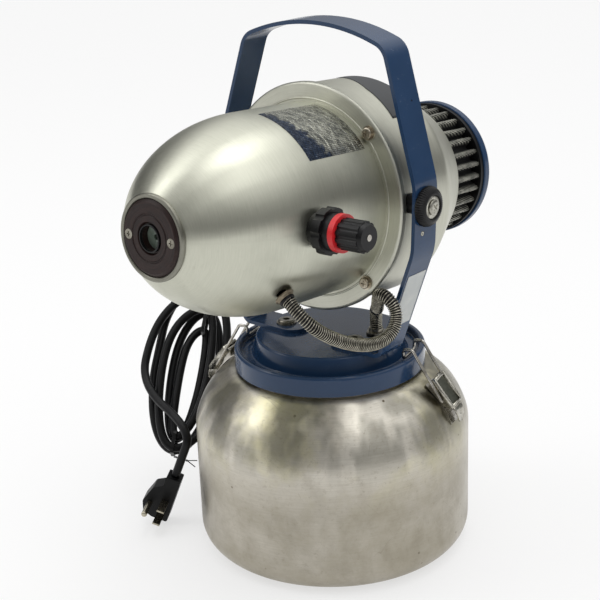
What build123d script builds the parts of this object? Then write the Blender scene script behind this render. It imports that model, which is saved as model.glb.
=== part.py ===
from build123d import *
import os
from math import asin, cos, degrees, hypot, pi, radians, sin, sqrt, tan

# Electric cold fogger: a blower head tilts in a steel yoke on the lid of a stainless liquid tank.
# Millimetres, Z up, origin at the middle of the tank's base, nose along -Y, valve and hose at +X.

os.makedirs("parts", exist_ok=True)

# Clearances
seat_gap = 0.3        # between pieces of different bodies, and curved pieces on curved seats
bore_gap = 0.05       # radial, shafts and screws in their holes

# Tank
tank_r = 110.0
tank_wall = 1.0
base_round_r = 19.0
shoulder_z = 100.2    # top of the straight wall
dome_top_z = 147.3
dome_end_r = tank_r - 37.65
dome_power = 1.198    # above 1 is flatter than an ellipse
neck_r = tank_r - 39.0
lip_r = neck_r + 2.2
lip_h = 3.2
mouth_z = 155.5

# Lid and gasket
lid_t = 1.4
lid_skirt_r = neck_r + 4.8
lid_rim_in_r = lid_skirt_r - 5.2
lid_rim_top_z = 165.4
lid_groove_z = 159.5
lid_skirt_z = 149.8
lid_step_r = lid_skirt_r - 14.3
platform_r = lid_step_r - 3.6
platform_z = 174.0

# Yoke strap
strap_t = 3.0
strap_w = 26.0
housing_r = 85.0
strap_half_w = housing_r + 13.3   # outer face of the upright part
strap_top_z = 419.0
strap_lean = radians(3.45)
foot_end_x = 28.0     # centre of the round foot end
foot_corner_x = 69.3
elbow_z = 259.8       # lower and upper ends of the upright part
cheek_z = 308.4
crown_x = 67.9
crown_r = 168.0
crown_arc_x = 59.11      # half width of the crown's arc
pivot_y = -4.0
pivot_z = 293.0
pivot_screw_r = 3.0
bush_r = 7.4
rivet_hole_r = 2.0
foot_bolt_x = 35.0
foot_bolt_r = 4.0

# Head: stations run along its axis, negative toward the nose
head_y = 0.86
head_z = 286.3
head_tilt = -0.0597   # radians, nose end up
bell_r = housing_r - 12.1
bell_t = 1.5
bell_len = 102.0      # of the whole half ellipse
bell_mid_s = -85.0
bell_cut_r = 29.3     # where the lip ring cuts the ellipse
flange_front_s = -19.0
flange_back_s = -13.0
flange_r = housing_r + 2.3
flange_in_r = bell_r - 12.9
flange_screw_r = flange_r - 8.3
housing_t = 1.5
cone_start_s = 43.5
housing_end_s = 92.0
housing_end_r = housing_r - 25.0
intake_r = 34.0
disc_r = 27.0
disc_front_s = -183.0
disc_back_s = -173.0
nozzle_r = 8.7
nose_screw_r = 20.5
feed_tube_r = 3.0
core_back_s = -130.0

# Blower
shaft_r = 4.0
stator_r = 42.0
armature_r = 24.0
stator_front_s = 12.0
stator_back_s = 66.0
fan_r = 55.0
rear_fan_r = 38.0

# Filter
filter_out_r = 52.0
filter_in_r = 44.0
pleats = 42
pleat_t = 1.5
filter_ring_t = 6.0
filter_end_s = 137.0
cap_r = 55.0
cap_t = 8.0

# Valve and hose ferrule, angles round the head's axis from +X
valve_s = -94.0
valve_angle = 1.5
valve_nut_r = 16.5
valve_nut_in = bell_r + 5.8
valve_nut_out = bell_r + 13.2
valve_boss_out = valve_nut_out + 5.0
collar_out = valve_boss_out + 4.5
knob_out = collar_out + 20.8
stem_r = 3.0
ferrule_s = -112.0
ferrule_angle = -38.0
ferrule_out = bell_r + 7.1
hose_r = 4.7
hose_tube_r = 3.1

# Toggle latches, local radius and height
latch_angles = (14.1, 194.1)
pin_r_pos = tank_r - 19.7
pin_z = 147.2
pin_r = 1.0
bail_r_pos = pin_r_pos + 9.2
bail_z = 133.5
bail_wire_r = 1.2
bail_half_w = 10.9
lever_half_w = 9.2
lip_half_w = 6.5
lever_slope = radians(53.0)   # of the closed lever, down from level


def dome_line(inset):
    """Points and end tangents of the dome's outline, moved in by a wall."""
    points = []
    for step in range(5):
        turn = radians(22.5 * step)
        r = dome_end_r - inset + (tank_r - dome_end_r) * max(cos(turn), 0.0) ** dome_power
        z = shoulder_z + (dome_top_z - inset - shoulder_z) * sin(turn) ** dome_power
        points.append((r, z))
    return points


def dome_z(r):
    """Height of the dome's outer face at a radius."""
    part = min(max((r - dome_end_r) / (tank_r - dome_end_r), 0.0), 1.0)
    turn_cos = part ** (1.0 / dome_power)
    return shoulder_z + (dome_top_z - shoulder_z) * sqrt(1.0 - turn_cos ** 2) ** dome_power


def dome_r(z):
    """Radius of the dome's outer face at a height."""
    part = min(max((z - shoulder_z) / (dome_top_z - shoulder_z), 0.0), 1.0)
    turn_sin = part ** (1.0 / dome_power)
    return dome_end_r + (tank_r - dome_end_r) * sqrt(1.0 - turn_sin ** 2) ** dome_power


def tank_half(inset):
    """Closed half section of the tank's body, to be made a face by the caller."""
    base_r = base_round_r - inset
    Line((0, inset), (tank_r - base_round_r, inset))
    corner_z = inset + base_r
    JernArc((tank_r - base_round_r, inset), (1, 0), base_r, 90)
    Line((tank_r - inset, corner_z), (tank_r - inset, shoulder_z))
    Spline(*dome_line(inset), tangents=[(0, 1), (-1, 0)])
    Line((dome_end_r - inset, dome_top_z - inset), (0, dome_top_z - inset))
    Line((0, dome_top_z - inset), (0, inset))


def up_dir():
    return Vector(0, -sin(head_tilt), cos(head_tilt))


head_dir = Vector(0, cos(head_tilt), sin(head_tilt))
head_o = Vector(0, head_y, head_z)
head_axis = Axis(head_o, head_dir)
head_plane = Plane(origin=head_o, x_dir=(1, 0, 0), z_dir=up_dir())


def radial(angle):
    """Direction out from the head's axis."""
    return Vector(1, 0, 0) * cos(radians(angle)) + up_dir() * sin(radians(angle))


def cross_plane(s):
    """Plane across the head at a station: X to the right, Y up, facing the nose."""
    return Plane(origin=head_o + head_dir * s, x_dir=(1, 0, 0), z_dir=head_dir * -1)


def radial_plane(s, angle, out):
    """Plane facing out from the head's axis at a station, an angle and a radius."""
    return Plane(origin=head_o + head_dir * s + radial(angle) * out, x_dir=head_dir, z_dir=radial(angle))


def bell_cut_s(grow):
    """Station at which the bell's ellipse, grown by an amount, meets the lip ring's radius."""
    return bell_mid_s - (bell_len + grow) * sqrt(1.0 - ((bell_cut_r + grow) / (bell_r + grow)) ** 2)


def bell_half(grow, back_s):
    """Closed half section of a solid bell, grown by an amount, to be made a face by the caller."""
    front_s = bell_cut_s(0)
    front_r = (bell_r + grow) * sqrt(1.0 - ((front_s - bell_mid_s) / (bell_len + grow)) ** 2)
    sweep_angle = degrees(asin((bell_mid_s - front_s) / (bell_len + grow)))
    EllipticalCenterArc((0, bell_mid_s), bell_r + grow, bell_len + grow, start_angle=0, arc_size=-sweep_angle)
    Line((bell_r + grow, bell_mid_s), (bell_r + grow, back_s))
    Polyline((bell_r + grow, back_s), (0, back_s), (0, front_s), (front_r, front_s))


# ---- Tank, lid and gasket

with BuildPart() as tank_shell:
    with BuildSketch(Plane.XZ):
        with BuildLine():
            tank_half(0)
        make_face()
    revolve(axis=Axis.Z)
    with BuildSketch(Plane.XZ):
        with BuildLine():
            tank_half(tank_wall)
        make_face()
    revolve(axis=Axis.Z, mode=Mode.SUBTRACT)
    with BuildSketch(Plane.XY.offset(dome_top_z - 2 * tank_wall)):
        Circle(neck_r)
    extrude(amount=mouth_z - dome_top_z + 2 * tank_wall)
    with BuildSketch(Plane.XZ):
        with BuildLine():
            lip_points = [(neck_r - 1, mouth_z - lip_h), (lip_r, mouth_z - lip_h)]
            lip_points += [(lip_r, mouth_z), (neck_r - 1, mouth_z)]
            FilletPolyline(*lip_points, radius=[0, 1.1, 1.1, 0], close=True)
        make_face()
    revolve(axis=Axis.Z)
    with BuildSketch(Plane.XY.offset(dome_top_z - 3 * tank_wall)):
        Circle(neck_r - tank_wall)
    extrude(amount=mouth_z - dome_top_z + 4 * tank_wall, mode=Mode.SUBTRACT)

with BuildPart() as lid_gasket:
    with BuildSketch(Plane.XY.offset(mouth_z)):
        Circle(lip_r + 0.4)
        Circle(neck_r - tank_wall + 0.4, mode=Mode.SUBTRACT)
    extrude(amount=lid_groove_z - lid_t - mouth_z)

fitting_xy = (38.0, 12.0)
fitting_hole_r = 4.2
with BuildPart() as lid:
    with BuildSketch(Plane.XZ):
        with BuildLine():
            lid_out = [(lid_skirt_r, lid_skirt_z), (lid_skirt_r, lid_rim_top_z)]
            lid_out += [(lid_rim_in_r, lid_rim_top_z)]
            lid_out += [(lid_rim_in_r, lid_groove_z), (lid_step_r, lid_groove_z), (platform_r, platform_z)]
            lid_out += [(0, platform_z), (0, platform_z - lid_t), (platform_r - lid_t, platform_z - lid_t)]
            lid_out += [(lid_step_r - lid_t, lid_groove_z - lid_t)]
            lid_out += [(lid_skirt_r - lid_t, lid_groove_z - lid_t)]
            lid_out += [(lid_skirt_r - lid_t, lid_skirt_z)]
            rounds = [0, 2.5, 2.5, 0.9, 1.4, 2.0, 0, 0, 0.8, 0, 0, 0]
            FilletPolyline(*lid_out, radius=rounds, close=True)
        make_face()
    revolve(axis=Axis.Z)
    foot_y = pivot_y + (platform_z + strap_t / 2 - pivot_z) * tan(strap_lean)
    with Locations((foot_bolt_x, foot_y, platform_z), (-foot_bolt_x, foot_y, platform_z)):
        Cylinder(foot_bolt_r + bore_gap, 10, mode=Mode.SUBTRACT)
    with Locations((fitting_xy[0], fitting_xy[1], platform_z)):
        Cylinder(fitting_hole_r + bore_gap, 10, mode=Mode.SUBTRACT)

# ---- Yoke: one strip bent round, with its feet on the lid's platform

crown_turn = asin(crown_arc_x / crown_r)
apex_z = strap_top_z + crown_r * (1 / cos(crown_turn) - 1)
crown_z = apex_z - crown_x * tan(crown_turn)
with BuildPart() as yoke_strap:
    with BuildSketch(Plane.XZ):
        with BuildLine():
            right = [(foot_corner_x, platform_z), (strap_half_w, elbow_z)]
            right += [(strap_half_w, cheek_z), (crown_x, crown_z)]
            left = [(-x, z) for x, z in reversed(right)]
            bends = [9, 40, 40, 17, crown_r, 17, 40, 40, 9]
            FilletPolyline(*right, (0, apex_z), *left, radius=bends, close=True)
        make_face()
        offset(amount=-strap_t, mode=Mode.SUBTRACT)
    extrude(amount=60, both=True)
    with BuildSketch(Plane.YZ):
        low_z = platform_z - 2
        high_z = strap_top_z + 4
        low_y = pivot_y + (low_z - pivot_z) * tan(strap_lean)
        high_y = pivot_y + (high_z - pivot_z) * tan(strap_lean)
        half = strap_w / 2 / cos(strap_lean)
        with BuildLine():
            band = [(low_y - half, low_z), (low_y + half, low_z)]
            band += [(high_y + half, high_z), (high_y - half, high_z)]
            Polyline(*band, close=True)
        make_face()
    extrude(amount=strap_half_w + 10, both=True, mode=Mode.INTERSECT)
    with Locations((0, foot_y, platform_z + strap_t / 2)):
        Box(2 * foot_end_x, strap_w + 4, strap_t + 2, mode=Mode.SUBTRACT)
    foot_mid_z = platform_z + strap_t / 2
    with Locations((foot_end_x, foot_y, foot_mid_z), (-foot_end_x, foot_y, foot_mid_z)):
        Cylinder(half, strap_t)
    with Locations((foot_bolt_x, foot_y, platform_z), (-foot_bolt_x, foot_y, platform_z)):
        Cylinder(foot_bolt_r + bore_gap, 12, mode=Mode.SUBTRACT)
    with BuildSketch(Plane.YZ):
        with Locations((pivot_y, pivot_z)):
            Circle(pivot_screw_r + bore_gap)
    extrude(amount=strap_half_w + 5, both=True, mode=Mode.SUBTRACT)
    with BuildSketch(Plane.YZ.offset(strap_half_w - 10)):
        with Locations((-8.5, 273.5)):
            Circle(rivet_hole_r)
    extrude(amount=20, mode=Mode.SUBTRACT)

foot_top_z = platform_z + strap_t
with BuildPart() as strap_bolts:
    with Locations((foot_bolt_x, foot_y, foot_top_z), (-foot_bolt_x, foot_y, foot_top_z)):
        Cylinder(8.0, 1.2, align=(Align.CENTER, Align.CENTER, Align.MIN))
        Cylinder(6.6, 3.2, align=(Align.CENTER, Align.CENTER, Align.MIN))
        Cylinder(foot_bolt_r, 16.0, align=(Align.CENTER, Align.CENTER, Align.MAX))
    fillet(strap_bolts.edges().group_by(Axis.Z)[-1], 1.2)
    sockets = Plane.XY.offset(foot_top_z + 1.4)
    with BuildSketch(sockets):
        with Locations((foot_bolt_x, foot_y), (-foot_bolt_x, foot_y)):
            RegularPolygon(2.9, 6)
    extrude(amount=5, mode=Mode.SUBTRACT)

nut_z = platform_z - lid_t
with BuildPart() as strap_nuts:
    with BuildSketch(Plane.XY.offset(nut_z)):
        with Locations((foot_bolt_x, foot_y), (-foot_bolt_x, foot_y)):
            RegularPolygon(7.5, 6)
            Circle(foot_bolt_r + bore_gap, mode=Mode.SUBTRACT)
    extrude(amount=-6.5)

# ---- Liquid side: fitting on the lid, dip tube and strainer

fitting_top_z = platform_z + 8.0
dip_r = 3.0
with BuildPart() as hose_lid_fitting:
    with BuildSketch(Plane.XY.offset(platform_z)):
        with Locations(fitting_xy):
            RegularPolygon(8.2, 6)
    extrude(amount=5)
    with Locations((*fitting_xy, platform_z + 5)):
        Cylinder(hose_r + 0.9, fitting_top_z - platform_z - 5, align=(Align.CENTER, Align.CENTER, Align.MIN))
    with Locations((*fitting_xy, platform_z)):
        Cylinder(fitting_hole_r, lid_t + 8, align=(Align.CENTER, Align.CENTER, Align.MAX))
    with Locations((*fitting_xy, platform_z)):
        Cylinder(2.0, 40, mode=Mode.SUBTRACT)

dip_top_z = platform_z - lid_t - 8
dip_end = (62.0, 0.0, 17.0)
with BuildPart() as dip_tube:
    with BuildLine() as dip_line:
        dip_knee = (*fitting_xy, 90.0)
        dip_low = (dip_end[0], dip_end[1], 40.0)
        FilletPolyline((*fitting_xy, dip_top_z), dip_knee, dip_low, dip_end, radius=[30.0, 24.0])
    with BuildSketch(Plane(origin=dip_line.line @ 0, z_dir=dip_line.line % 0)):
        Circle(dip_r)
        Circle(dip_r - 0.8, mode=Mode.SUBTRACT)
    sweep()

with BuildPart() as dip_strainer:
    with Locations((dip_end[0], dip_end[1], dip_end[2] + 2)):
        Cylinder(6.0, 16.0, align=(Align.CENTER, Align.CENTER, Align.MAX))
        Cylinder(dip_r + bore_gap, 6.0, align=(Align.CENTER, Align.CENTER, Align.MAX), mode=Mode.SUBTRACT)
    with Locations(dip_end):
        Cylinder(4.6, 12.0, align=(Align.CENTER, Align.CENTER, Align.MAX), mode=Mode.SUBTRACT)
    with Locations((dip_end[0], dip_end[1], dip_end[2] - 6)):
        with PolarLocations(5.3, 8):
            Box(4, 1.6, 7, mode=Mode.SUBTRACT)

# ---- Head: spun bell, flange and housing

with BuildPart() as bell_grown:
    with BuildSketch(head_plane):
        with BuildLine():
            bell_half(seat_gap, flange_front_s)
        make_face()
    revolve(axis=head_axis)

spigot_r = 6.0
with BuildPart() as nose_bell:
    with BuildSketch(head_plane):
        with BuildLine():
            bell_half(0, flange_front_s)
        make_face()
    revolve(axis=head_axis)
    with BuildSketch(head_plane):
        with BuildLine():
            bell_half(-bell_t, flange_front_s)
        make_face()
    revolve(axis=head_axis, mode=Mode.SUBTRACT)
    with BuildSketch(cross_plane(0)):
        Circle(disc_r + 0.1)
    extrude(amount=200, mode=Mode.SUBTRACT)
    with BuildSketch(radial_plane(valve_s, valve_angle, 0)):
        Circle(spigot_r + 0.1)
    extrude(amount=100, mode=Mode.SUBTRACT)
    with BuildSketch(radial_plane(ferrule_s, ferrule_angle, 0)):
        Circle(4.1)
    extrude(amount=100, mode=Mode.SUBTRACT)

lip_back_s = bell_cut_s(0)
lip_ring_r = disc_r + 3.5
lip_ring_t = 3.2
with BuildPart() as nose_lip_ring:
    with BuildSketch(head_plane):
        with BuildLine():
            ring_points = [(disc_r + 0.1, lip_back_s), (lip_ring_r, lip_back_s)]
            ring_points += [(lip_ring_r, lip_back_s - lip_ring_t), (disc_r + 0.1, lip_back_s - lip_ring_t)]
            FilletPolyline(*ring_points, radius=[0, 0.8, 1.3, 1.0], close=True)
        make_face()
    revolve(axis=head_axis)

with BuildPart() as nose_disc:
    with BuildSketch(head_plane):
        with BuildLine():
            face_points = [(nozzle_r, disc_back_s), (nozzle_r, disc_front_s + 2)]
            face_points += [(10.5, disc_front_s + 2), (11.5, disc_front_s), (15.5, disc_front_s)]
            face_points += [(16.0, disc_front_s + 0.6), (16.8, disc_front_s + 0.6), (17.3, disc_front_s)]
            face_points += [(24.6, disc_front_s), (disc_r, disc_front_s + 2.4), (disc_r, disc_back_s)]
            Polyline(*face_points, close=True)
        make_face()
    revolve(axis=head_axis)
    with BuildSketch(cross_plane(disc_back_s - 4)):
        with Locations((nose_screw_r, 0), (-nose_screw_r, 0)):
            Circle(1.9 + bore_gap)
    extrude(amount=10, mode=Mode.SUBTRACT)
    with BuildSketch(cross_plane(disc_front_s + 2.0)):
        with Locations((nose_screw_r, 0), (-nose_screw_r, 0)):
            Circle(3.7)
    extrude(amount=3, mode=Mode.SUBTRACT)

with BuildPart() as nose_screws:
    with BuildSketch(cross_plane(disc_front_s + 2.0)):
        with Locations((nose_screw_r, 0), (-nose_screw_r, 0)):
            Circle(3.5)
    extrude(amount=1.9)
    with BuildSketch(cross_plane(disc_back_s - 4)):
        with Locations((nose_screw_r, 0), (-nose_screw_r, 0)):
            Circle(1.9)
    extrude(amount=4.5)
    with BuildSketch(cross_plane(disc_front_s + 0.9)):
        with Locations((nose_screw_r, 0), (-nose_screw_r, 0)):
            Rectangle(3.6, 0.8)
            Rectangle(0.8, 3.6)
    extrude(amount=2, mode=Mode.SUBTRACT)

with BuildPart() as nozzle_ring:
    with BuildSketch(head_plane):
        with BuildLine():
            rim_points = [(nozzle_r + 0.1, disc_front_s + 2), (9.8, disc_front_s + 2)]
            rim_points += [(9.8, disc_front_s - 0.1)]
            rim_points += [(9.5, disc_front_s - 0.4), (nozzle_r + 0.1, disc_front_s - 0.4)]
            Polyline(*rim_points, close=True)
        make_face()
    revolve(axis=head_axis)

with BuildPart() as nozzle_core:
    with BuildSketch(cross_plane(core_back_s)):
        Circle(nozzle_r - 0.1)
    extrude(amount=core_back_s - disc_front_s - 6.5)
    with BuildSketch(cross_plane(core_back_s - 8)):
        Circle(2.0)
    extrude(amount=60, mode=Mode.SUBTRACT)
    with BuildSketch(cross_plane(core_back_s)):
        Circle(feed_tube_r - 1.0)
    extrude(amount=20, mode=Mode.SUBTRACT)

valve_in = bell_r - bell_t - 5
feed_plane = Plane(origin=head_o, x_dir=radial(valve_angle), z_dir=radial(valve_angle).cross(head_dir))
with BuildPart() as feed_tube:
    with BuildLine(feed_plane) as feed_line:
        FilletPolyline((valve_in, valve_s), (0, valve_s), (0, core_back_s), radius=20)
    with BuildSketch(Plane(origin=feed_line.line @ 0, z_dir=feed_line.line % 0)):
        Circle(feed_tube_r)
        Circle(feed_tube_r - 1.0, mode=Mode.SUBTRACT)
    sweep()

screw_angles = [radians(a) for a in (45, 135, 225, 315)]
screw_spots = [(flange_screw_r * cos(a), flange_screw_r * sin(a)) for a in screw_angles]
with BuildPart() as flange_ring:
    with BuildSketch(head_plane):
        with BuildLine():
            collar_r = bell_r - bell_t - 0.3
            flange_points = [(flange_in_r, flange_back_s), (flange_r, flange_back_s)]
            flange_points += [(flange_r, flange_front_s), (collar_r, flange_front_s)]
            flange_points += [(collar_r, flange_front_s - 8), (collar_r - 1.5, flange_front_s - 8)]
            flange_points += [(collar_r - 1.5, flange_front_s), (flange_in_r, flange_front_s)]
            FilletPolyline(*flange_points, radius=[0, 1.2, 2.2, 0, 0, 0, 0, 0], close=True)
        make_face()
    revolve(axis=head_axis)
    with BuildSketch(cross_plane(flange_back_s + 5)):
        with Locations(*screw_spots):
            Circle(2.5 + bore_gap)
    extrude(amount=30, mode=Mode.SUBTRACT)

with BuildPart() as flange_screws:
    with BuildSketch(cross_plane(flange_front_s)):
        with Locations(*screw_spots):
            Circle(5.4)
    extrude(amount=1.0)
    with BuildSketch(cross_plane(flange_front_s - 1)):
        with Locations(*screw_spots):
            Circle(4.2)
    extrude(amount=2.6)
    head_top_s = flange_front_s - 3.6
    rims = [e for e in flange_screws.edges() if abs((e.center() - head_o).dot(head_dir) - head_top_s) < 0.01]
    fillet(rims, 1.0)
    with BuildSketch(cross_plane(flange_back_s + 6)):
        with Locations(*screw_spots):
            Circle(2.5)
    extrude(amount=13)
    with BuildSketch(cross_plane(flange_front_s - 2.6)):
        with Locations(*screw_spots):
            Rectangle(4.4, 0.9)
            Rectangle(0.9, 4.4)
    extrude(amount=3, mode=Mode.SUBTRACT)

pivot_v = (pivot_y - head_y) * -sin(head_tilt) + (pivot_z - head_z) * cos(head_tilt)
pivot_s = (pivot_y - head_y) * cos(head_tilt) + (pivot_z - head_z) * sin(head_tilt)
gland_s = 50.0
gland_angle = 210.0
switch_s = 22.0
switch_angle = 225.0
gland_r = housing_r - (gland_s - cone_start_s) * (housing_r - housing_end_r) / (housing_end_s - cone_start_s)
with BuildPart() as motor_housing:
    with BuildSketch(head_plane):
        with BuildLine():
            shell = [(housing_r, flange_back_s), (housing_r, cone_start_s), (housing_end_r, housing_end_s)]
            shell += [(intake_r, housing_end_s), (intake_r, housing_end_s - housing_t)]
            shell += [(housing_end_r - 0.8, housing_end_s - housing_t)]
            shell += [(housing_r - housing_t, cone_start_s - 0.4), (housing_r - housing_t, flange_back_s + 2)]
            shell += [(flange_in_r + 12, flange_back_s + 2), (flange_in_r + 12, flange_back_s)]
            FilletPolyline(*shell, radius=[0, 12, 4, 0, 0, 2.5, 10.5, 0, 0, 0], close=True)
        make_face()
    revolve(axis=head_axis)
    with BuildSketch(cross_plane(flange_back_s + 8)):
        with Locations(*screw_spots):
            Circle(2.5 + bore_gap)
    extrude(amount=10, mode=Mode.SUBTRACT)
    with BuildSketch(Plane.YZ):
        with Locations((pivot_y, pivot_z)):
            Circle(pivot_screw_r + bore_gap)
    extrude(amount=100, both=True, mode=Mode.SUBTRACT)
    with BuildSketch(radial_plane(gland_s, gland_angle, 0)):
        Circle(5.0)
    extrude(amount=100, mode=Mode.SUBTRACT)
    with BuildSketch(radial_plane(switch_s, switch_angle, 0)):
        Circle(6.1)
    extrude(amount=100, mode=Mode.SUBTRACT)

with BuildPart() as housing_grown:
    with BuildSketch(head_plane):
        with BuildLine():
            grown = [(0, flange_back_s), (housing_r + seat_gap, flange_back_s)]
            grown += [(housing_r + seat_gap, cone_start_s), (housing_end_r + seat_gap, housing_end_s)]
            Polyline(*grown, (0, housing_end_s), close=True)
        make_face()
    revolve(axis=head_axis)

# ---- Pivot: bush, screw through the strap, knob and nut on each side

bush_out = strap_half_w - strap_t - seat_gap
knob_in = strap_half_w + seat_gap
with BuildPart() as pivot_bushes:
    for side in (1, -1):
        with BuildSketch(Plane.YZ.offset(side * bush_out)):
            with Locations((pivot_y, pivot_z)):
                Circle(bush_r)
                Circle(pivot_screw_r + bore_gap, mode=Mode.SUBTRACT)
        extrude(amount=-side * 14)
    add(housing_grown.part, mode=Mode.SUBTRACT)

knob_t = 9.0
nut_out = housing_r - 3.0
screw_in = nut_out - 6.0
with BuildPart() as pivot_knobs:
    for side in (1, -1):
        with BuildSketch(Plane.YZ.offset(side * knob_in)):
            with Locations((pivot_y, pivot_z)):
                Circle(12.8)
                with PolarLocations(14.2, 10):
                    Circle(2.6, mode=Mode.SUBTRACT)
                Circle(pivot_screw_r + bore_gap, mode=Mode.SUBTRACT)
        extrude(amount=side * knob_t)

with BuildPart() as pivot_screws:
    for side in (1, -1):
        with BuildSketch(Plane.YZ.offset(side * (knob_in + knob_t))):
            with Locations((pivot_y, pivot_z)):
                Circle(7.6)
        extrude(amount=side * 0.9)
        with BuildSketch(Plane.YZ.offset(side * (knob_in + knob_t + 0.9))):
            with Locations((pivot_y, pivot_z)):
                Circle(5.8)
        extrude(amount=side * 2.6)
        with BuildSketch(Plane.YZ.offset(side * screw_in)):
            with Locations((pivot_y, pivot_z)):
                Circle(pivot_screw_r)
        extrude(amount=side * (knob_in + knob_t + 0.5 - screw_in))
    tops = pivot_screws.edges().filter_by(lambda e: abs(abs(e.center().X) - knob_in - knob_t - 3.5) < 0.01)
    fillet(tops, 1.2)
    for side in (1, -1):
        with BuildSketch(Plane.YZ.offset(side * (knob_in + knob_t + 2.2))):
            with Locations((pivot_y, pivot_z)):
                Rectangle(6.0, 1.1)
                Rectangle(1.1, 6.0)
        extrude(amount=side * 3, mode=Mode.SUBTRACT)

with BuildPart() as pivot_nuts:
    for side in (1, -1):
        with BuildSketch(Plane.YZ.offset(side * nut_out)):
            with Locations((pivot_y, pivot_z)):
                RegularPolygon(5.6, 6)
                Circle(pivot_screw_r + bore_gap, mode=Mode.SUBTRACT)
        extrude(amount=-side * 5)

# ---- Blower inside the head

with BuildPart() as motor_stator:
    with BuildSketch(cross_plane(stator_back_s)):
        Circle(stator_r)
    extrude(amount=stator_back_s - stator_front_s)
    with BuildSketch(cross_plane(stator_back_s - 7)):
        Circle(armature_r + 0.8)
    extrude(amount=stator_back_s - stator_front_s - 14, mode=Mode.SUBTRACT)
    with BuildSketch(cross_plane(stator_back_s)):
        Circle(11.0 + bore_gap)
    extrude(amount=stator_back_s - stator_front_s, mode=Mode.SUBTRACT)

spoke_in = stator_r - 0.5
spoke_out = housing_r - housing_t - 3.0
with BuildPart() as motor_mount:
    with BuildSketch(cross_plane(36)):
        Circle(housing_r - housing_t - seat_gap)
        Circle(housing_r - housing_t - 6, mode=Mode.SUBTRACT)
        with PolarLocations((spoke_in + spoke_out) / 2, 6):
            Rectangle(spoke_out - spoke_in, 9)
        Circle(stator_r + 5)
        Circle(stator_r + 0.1, mode=Mode.SUBTRACT)
    extrude(amount=4)

with BuildPart() as motor_bearings:
    for s in (stator_back_s, stator_front_s + 7):
        with BuildSketch(cross_plane(s)):
            Circle(11.0)
            Circle(shaft_r + bore_gap, mode=Mode.SUBTRACT)
        extrude(amount=7)

with BuildPart() as motor_shaft:
    with BuildSketch(cross_plane(84)):
        Circle(shaft_r)
    extrude(amount=96)

with BuildPart() as armature:
    with BuildSketch(cross_plane(stator_back_s - 9)):
        Circle(armature_r)
        with PolarLocations(armature_r, 12):
            Rectangle(5, 2.4, mode=Mode.SUBTRACT)
        Circle(shaft_r + bore_gap, mode=Mode.SUBTRACT)
    extrude(amount=stator_back_s - stator_front_s - 18)

with BuildPart() as front_fan:
    with BuildSketch(cross_plane(8)):
        Circle(fan_r)
        Circle(shaft_r + bore_gap, mode=Mode.SUBTRACT)
    extrude(amount=2)
    with BuildSketch(cross_plane(6)):
        Circle(11)
        Circle(shaft_r + bore_gap, mode=Mode.SUBTRACT)
    extrude(amount=12)
    with BuildSketch(cross_plane(6)):
        with PolarLocations(33, 9, rotate=True):
            Rectangle(40, 1.4, rotation=22)
    extrude(amount=10)

with BuildPart() as rear_fan:
    with BuildSketch(cross_plane(80)):
        Circle(10)
        with PolarLocations(23, 8, rotate=True):
            Rectangle(30, 1.5, rotation=18)
        Circle(shaft_r + bore_gap, mode=Mode.SUBTRACT)
    extrude(amount=8)

# ---- Intake filter

ring_back_s = housing_end_s + filter_ring_t
with BuildPart() as filter_rings:
    with BuildSketch(cross_plane(ring_back_s)):
        Circle(filter_out_r + 1.6)
        Circle(filter_in_r - 6, mode=Mode.SUBTRACT)
    extrude(amount=filter_ring_t)
    with BuildSketch(cross_plane(filter_end_s)):
        Circle(filter_out_r + 1.6)
        Circle(filter_in_r - 6, mode=Mode.SUBTRACT)
    extrude(amount=4)


def pleat_points(outer, inner):
    """Zigzag ring with one point out and one in for each pleat."""
    points = []
    for k in range(2 * pleats):
        r = outer if k % 2 == 0 else inner
        points.append((r * cos(pi * k / pleats), r * sin(pi * k / pleats)))
    return points


with BuildPart() as filter_element:
    with BuildSketch(cross_plane(filter_end_s - 4)):
        with BuildLine():
            Polyline(*pleat_points(filter_out_r, filter_in_r), close=True)
        make_face()
        with BuildLine():
            Polyline(*pleat_points(filter_out_r - 2 * pleat_t, filter_in_r - pleat_t), close=True)
        make_face(mode=Mode.SUBTRACT)
    extrude(amount=filter_end_s - 4 - ring_back_s)

with BuildPart() as filter_cap:
    with BuildSketch(head_plane):
        with BuildLine():
            cap_points = [(3.1, filter_end_s), (cap_r, filter_end_s)]
            cap_points += [(cap_r, filter_end_s + cap_t), (3.1, filter_end_s + cap_t)]
            FilletPolyline(*cap_points, radius=[0, 1.0, 3.0, 0], close=True)
        make_face()
    revolve(axis=head_axis)

with BuildPart() as filter_bracket:
    with BuildSketch(cross_plane(housing_end_s - housing_t)):
        Rectangle(2 * intake_r + 16, 12)
        Circle(3.0 + bore_gap, mode=Mode.SUBTRACT)
    extrude(amount=2.4)

with BuildPart() as filter_rod:
    with BuildSketch(cross_plane(filter_end_s + cap_t + 9)):
        Circle(3.0)
    extrude(amount=filter_end_s + cap_t + 9 - housing_end_s + 4)

with BuildPart() as filter_nut:
    with BuildSketch(cross_plane(filter_end_s + cap_t + 6)):
        RegularPolygon(6.4, 6)
        Circle(3.0 + bore_gap, mode=Mode.SUBTRACT)
    extrude(amount=6)

# ---- Valve, hose ferrule, cord gland and switch

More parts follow.
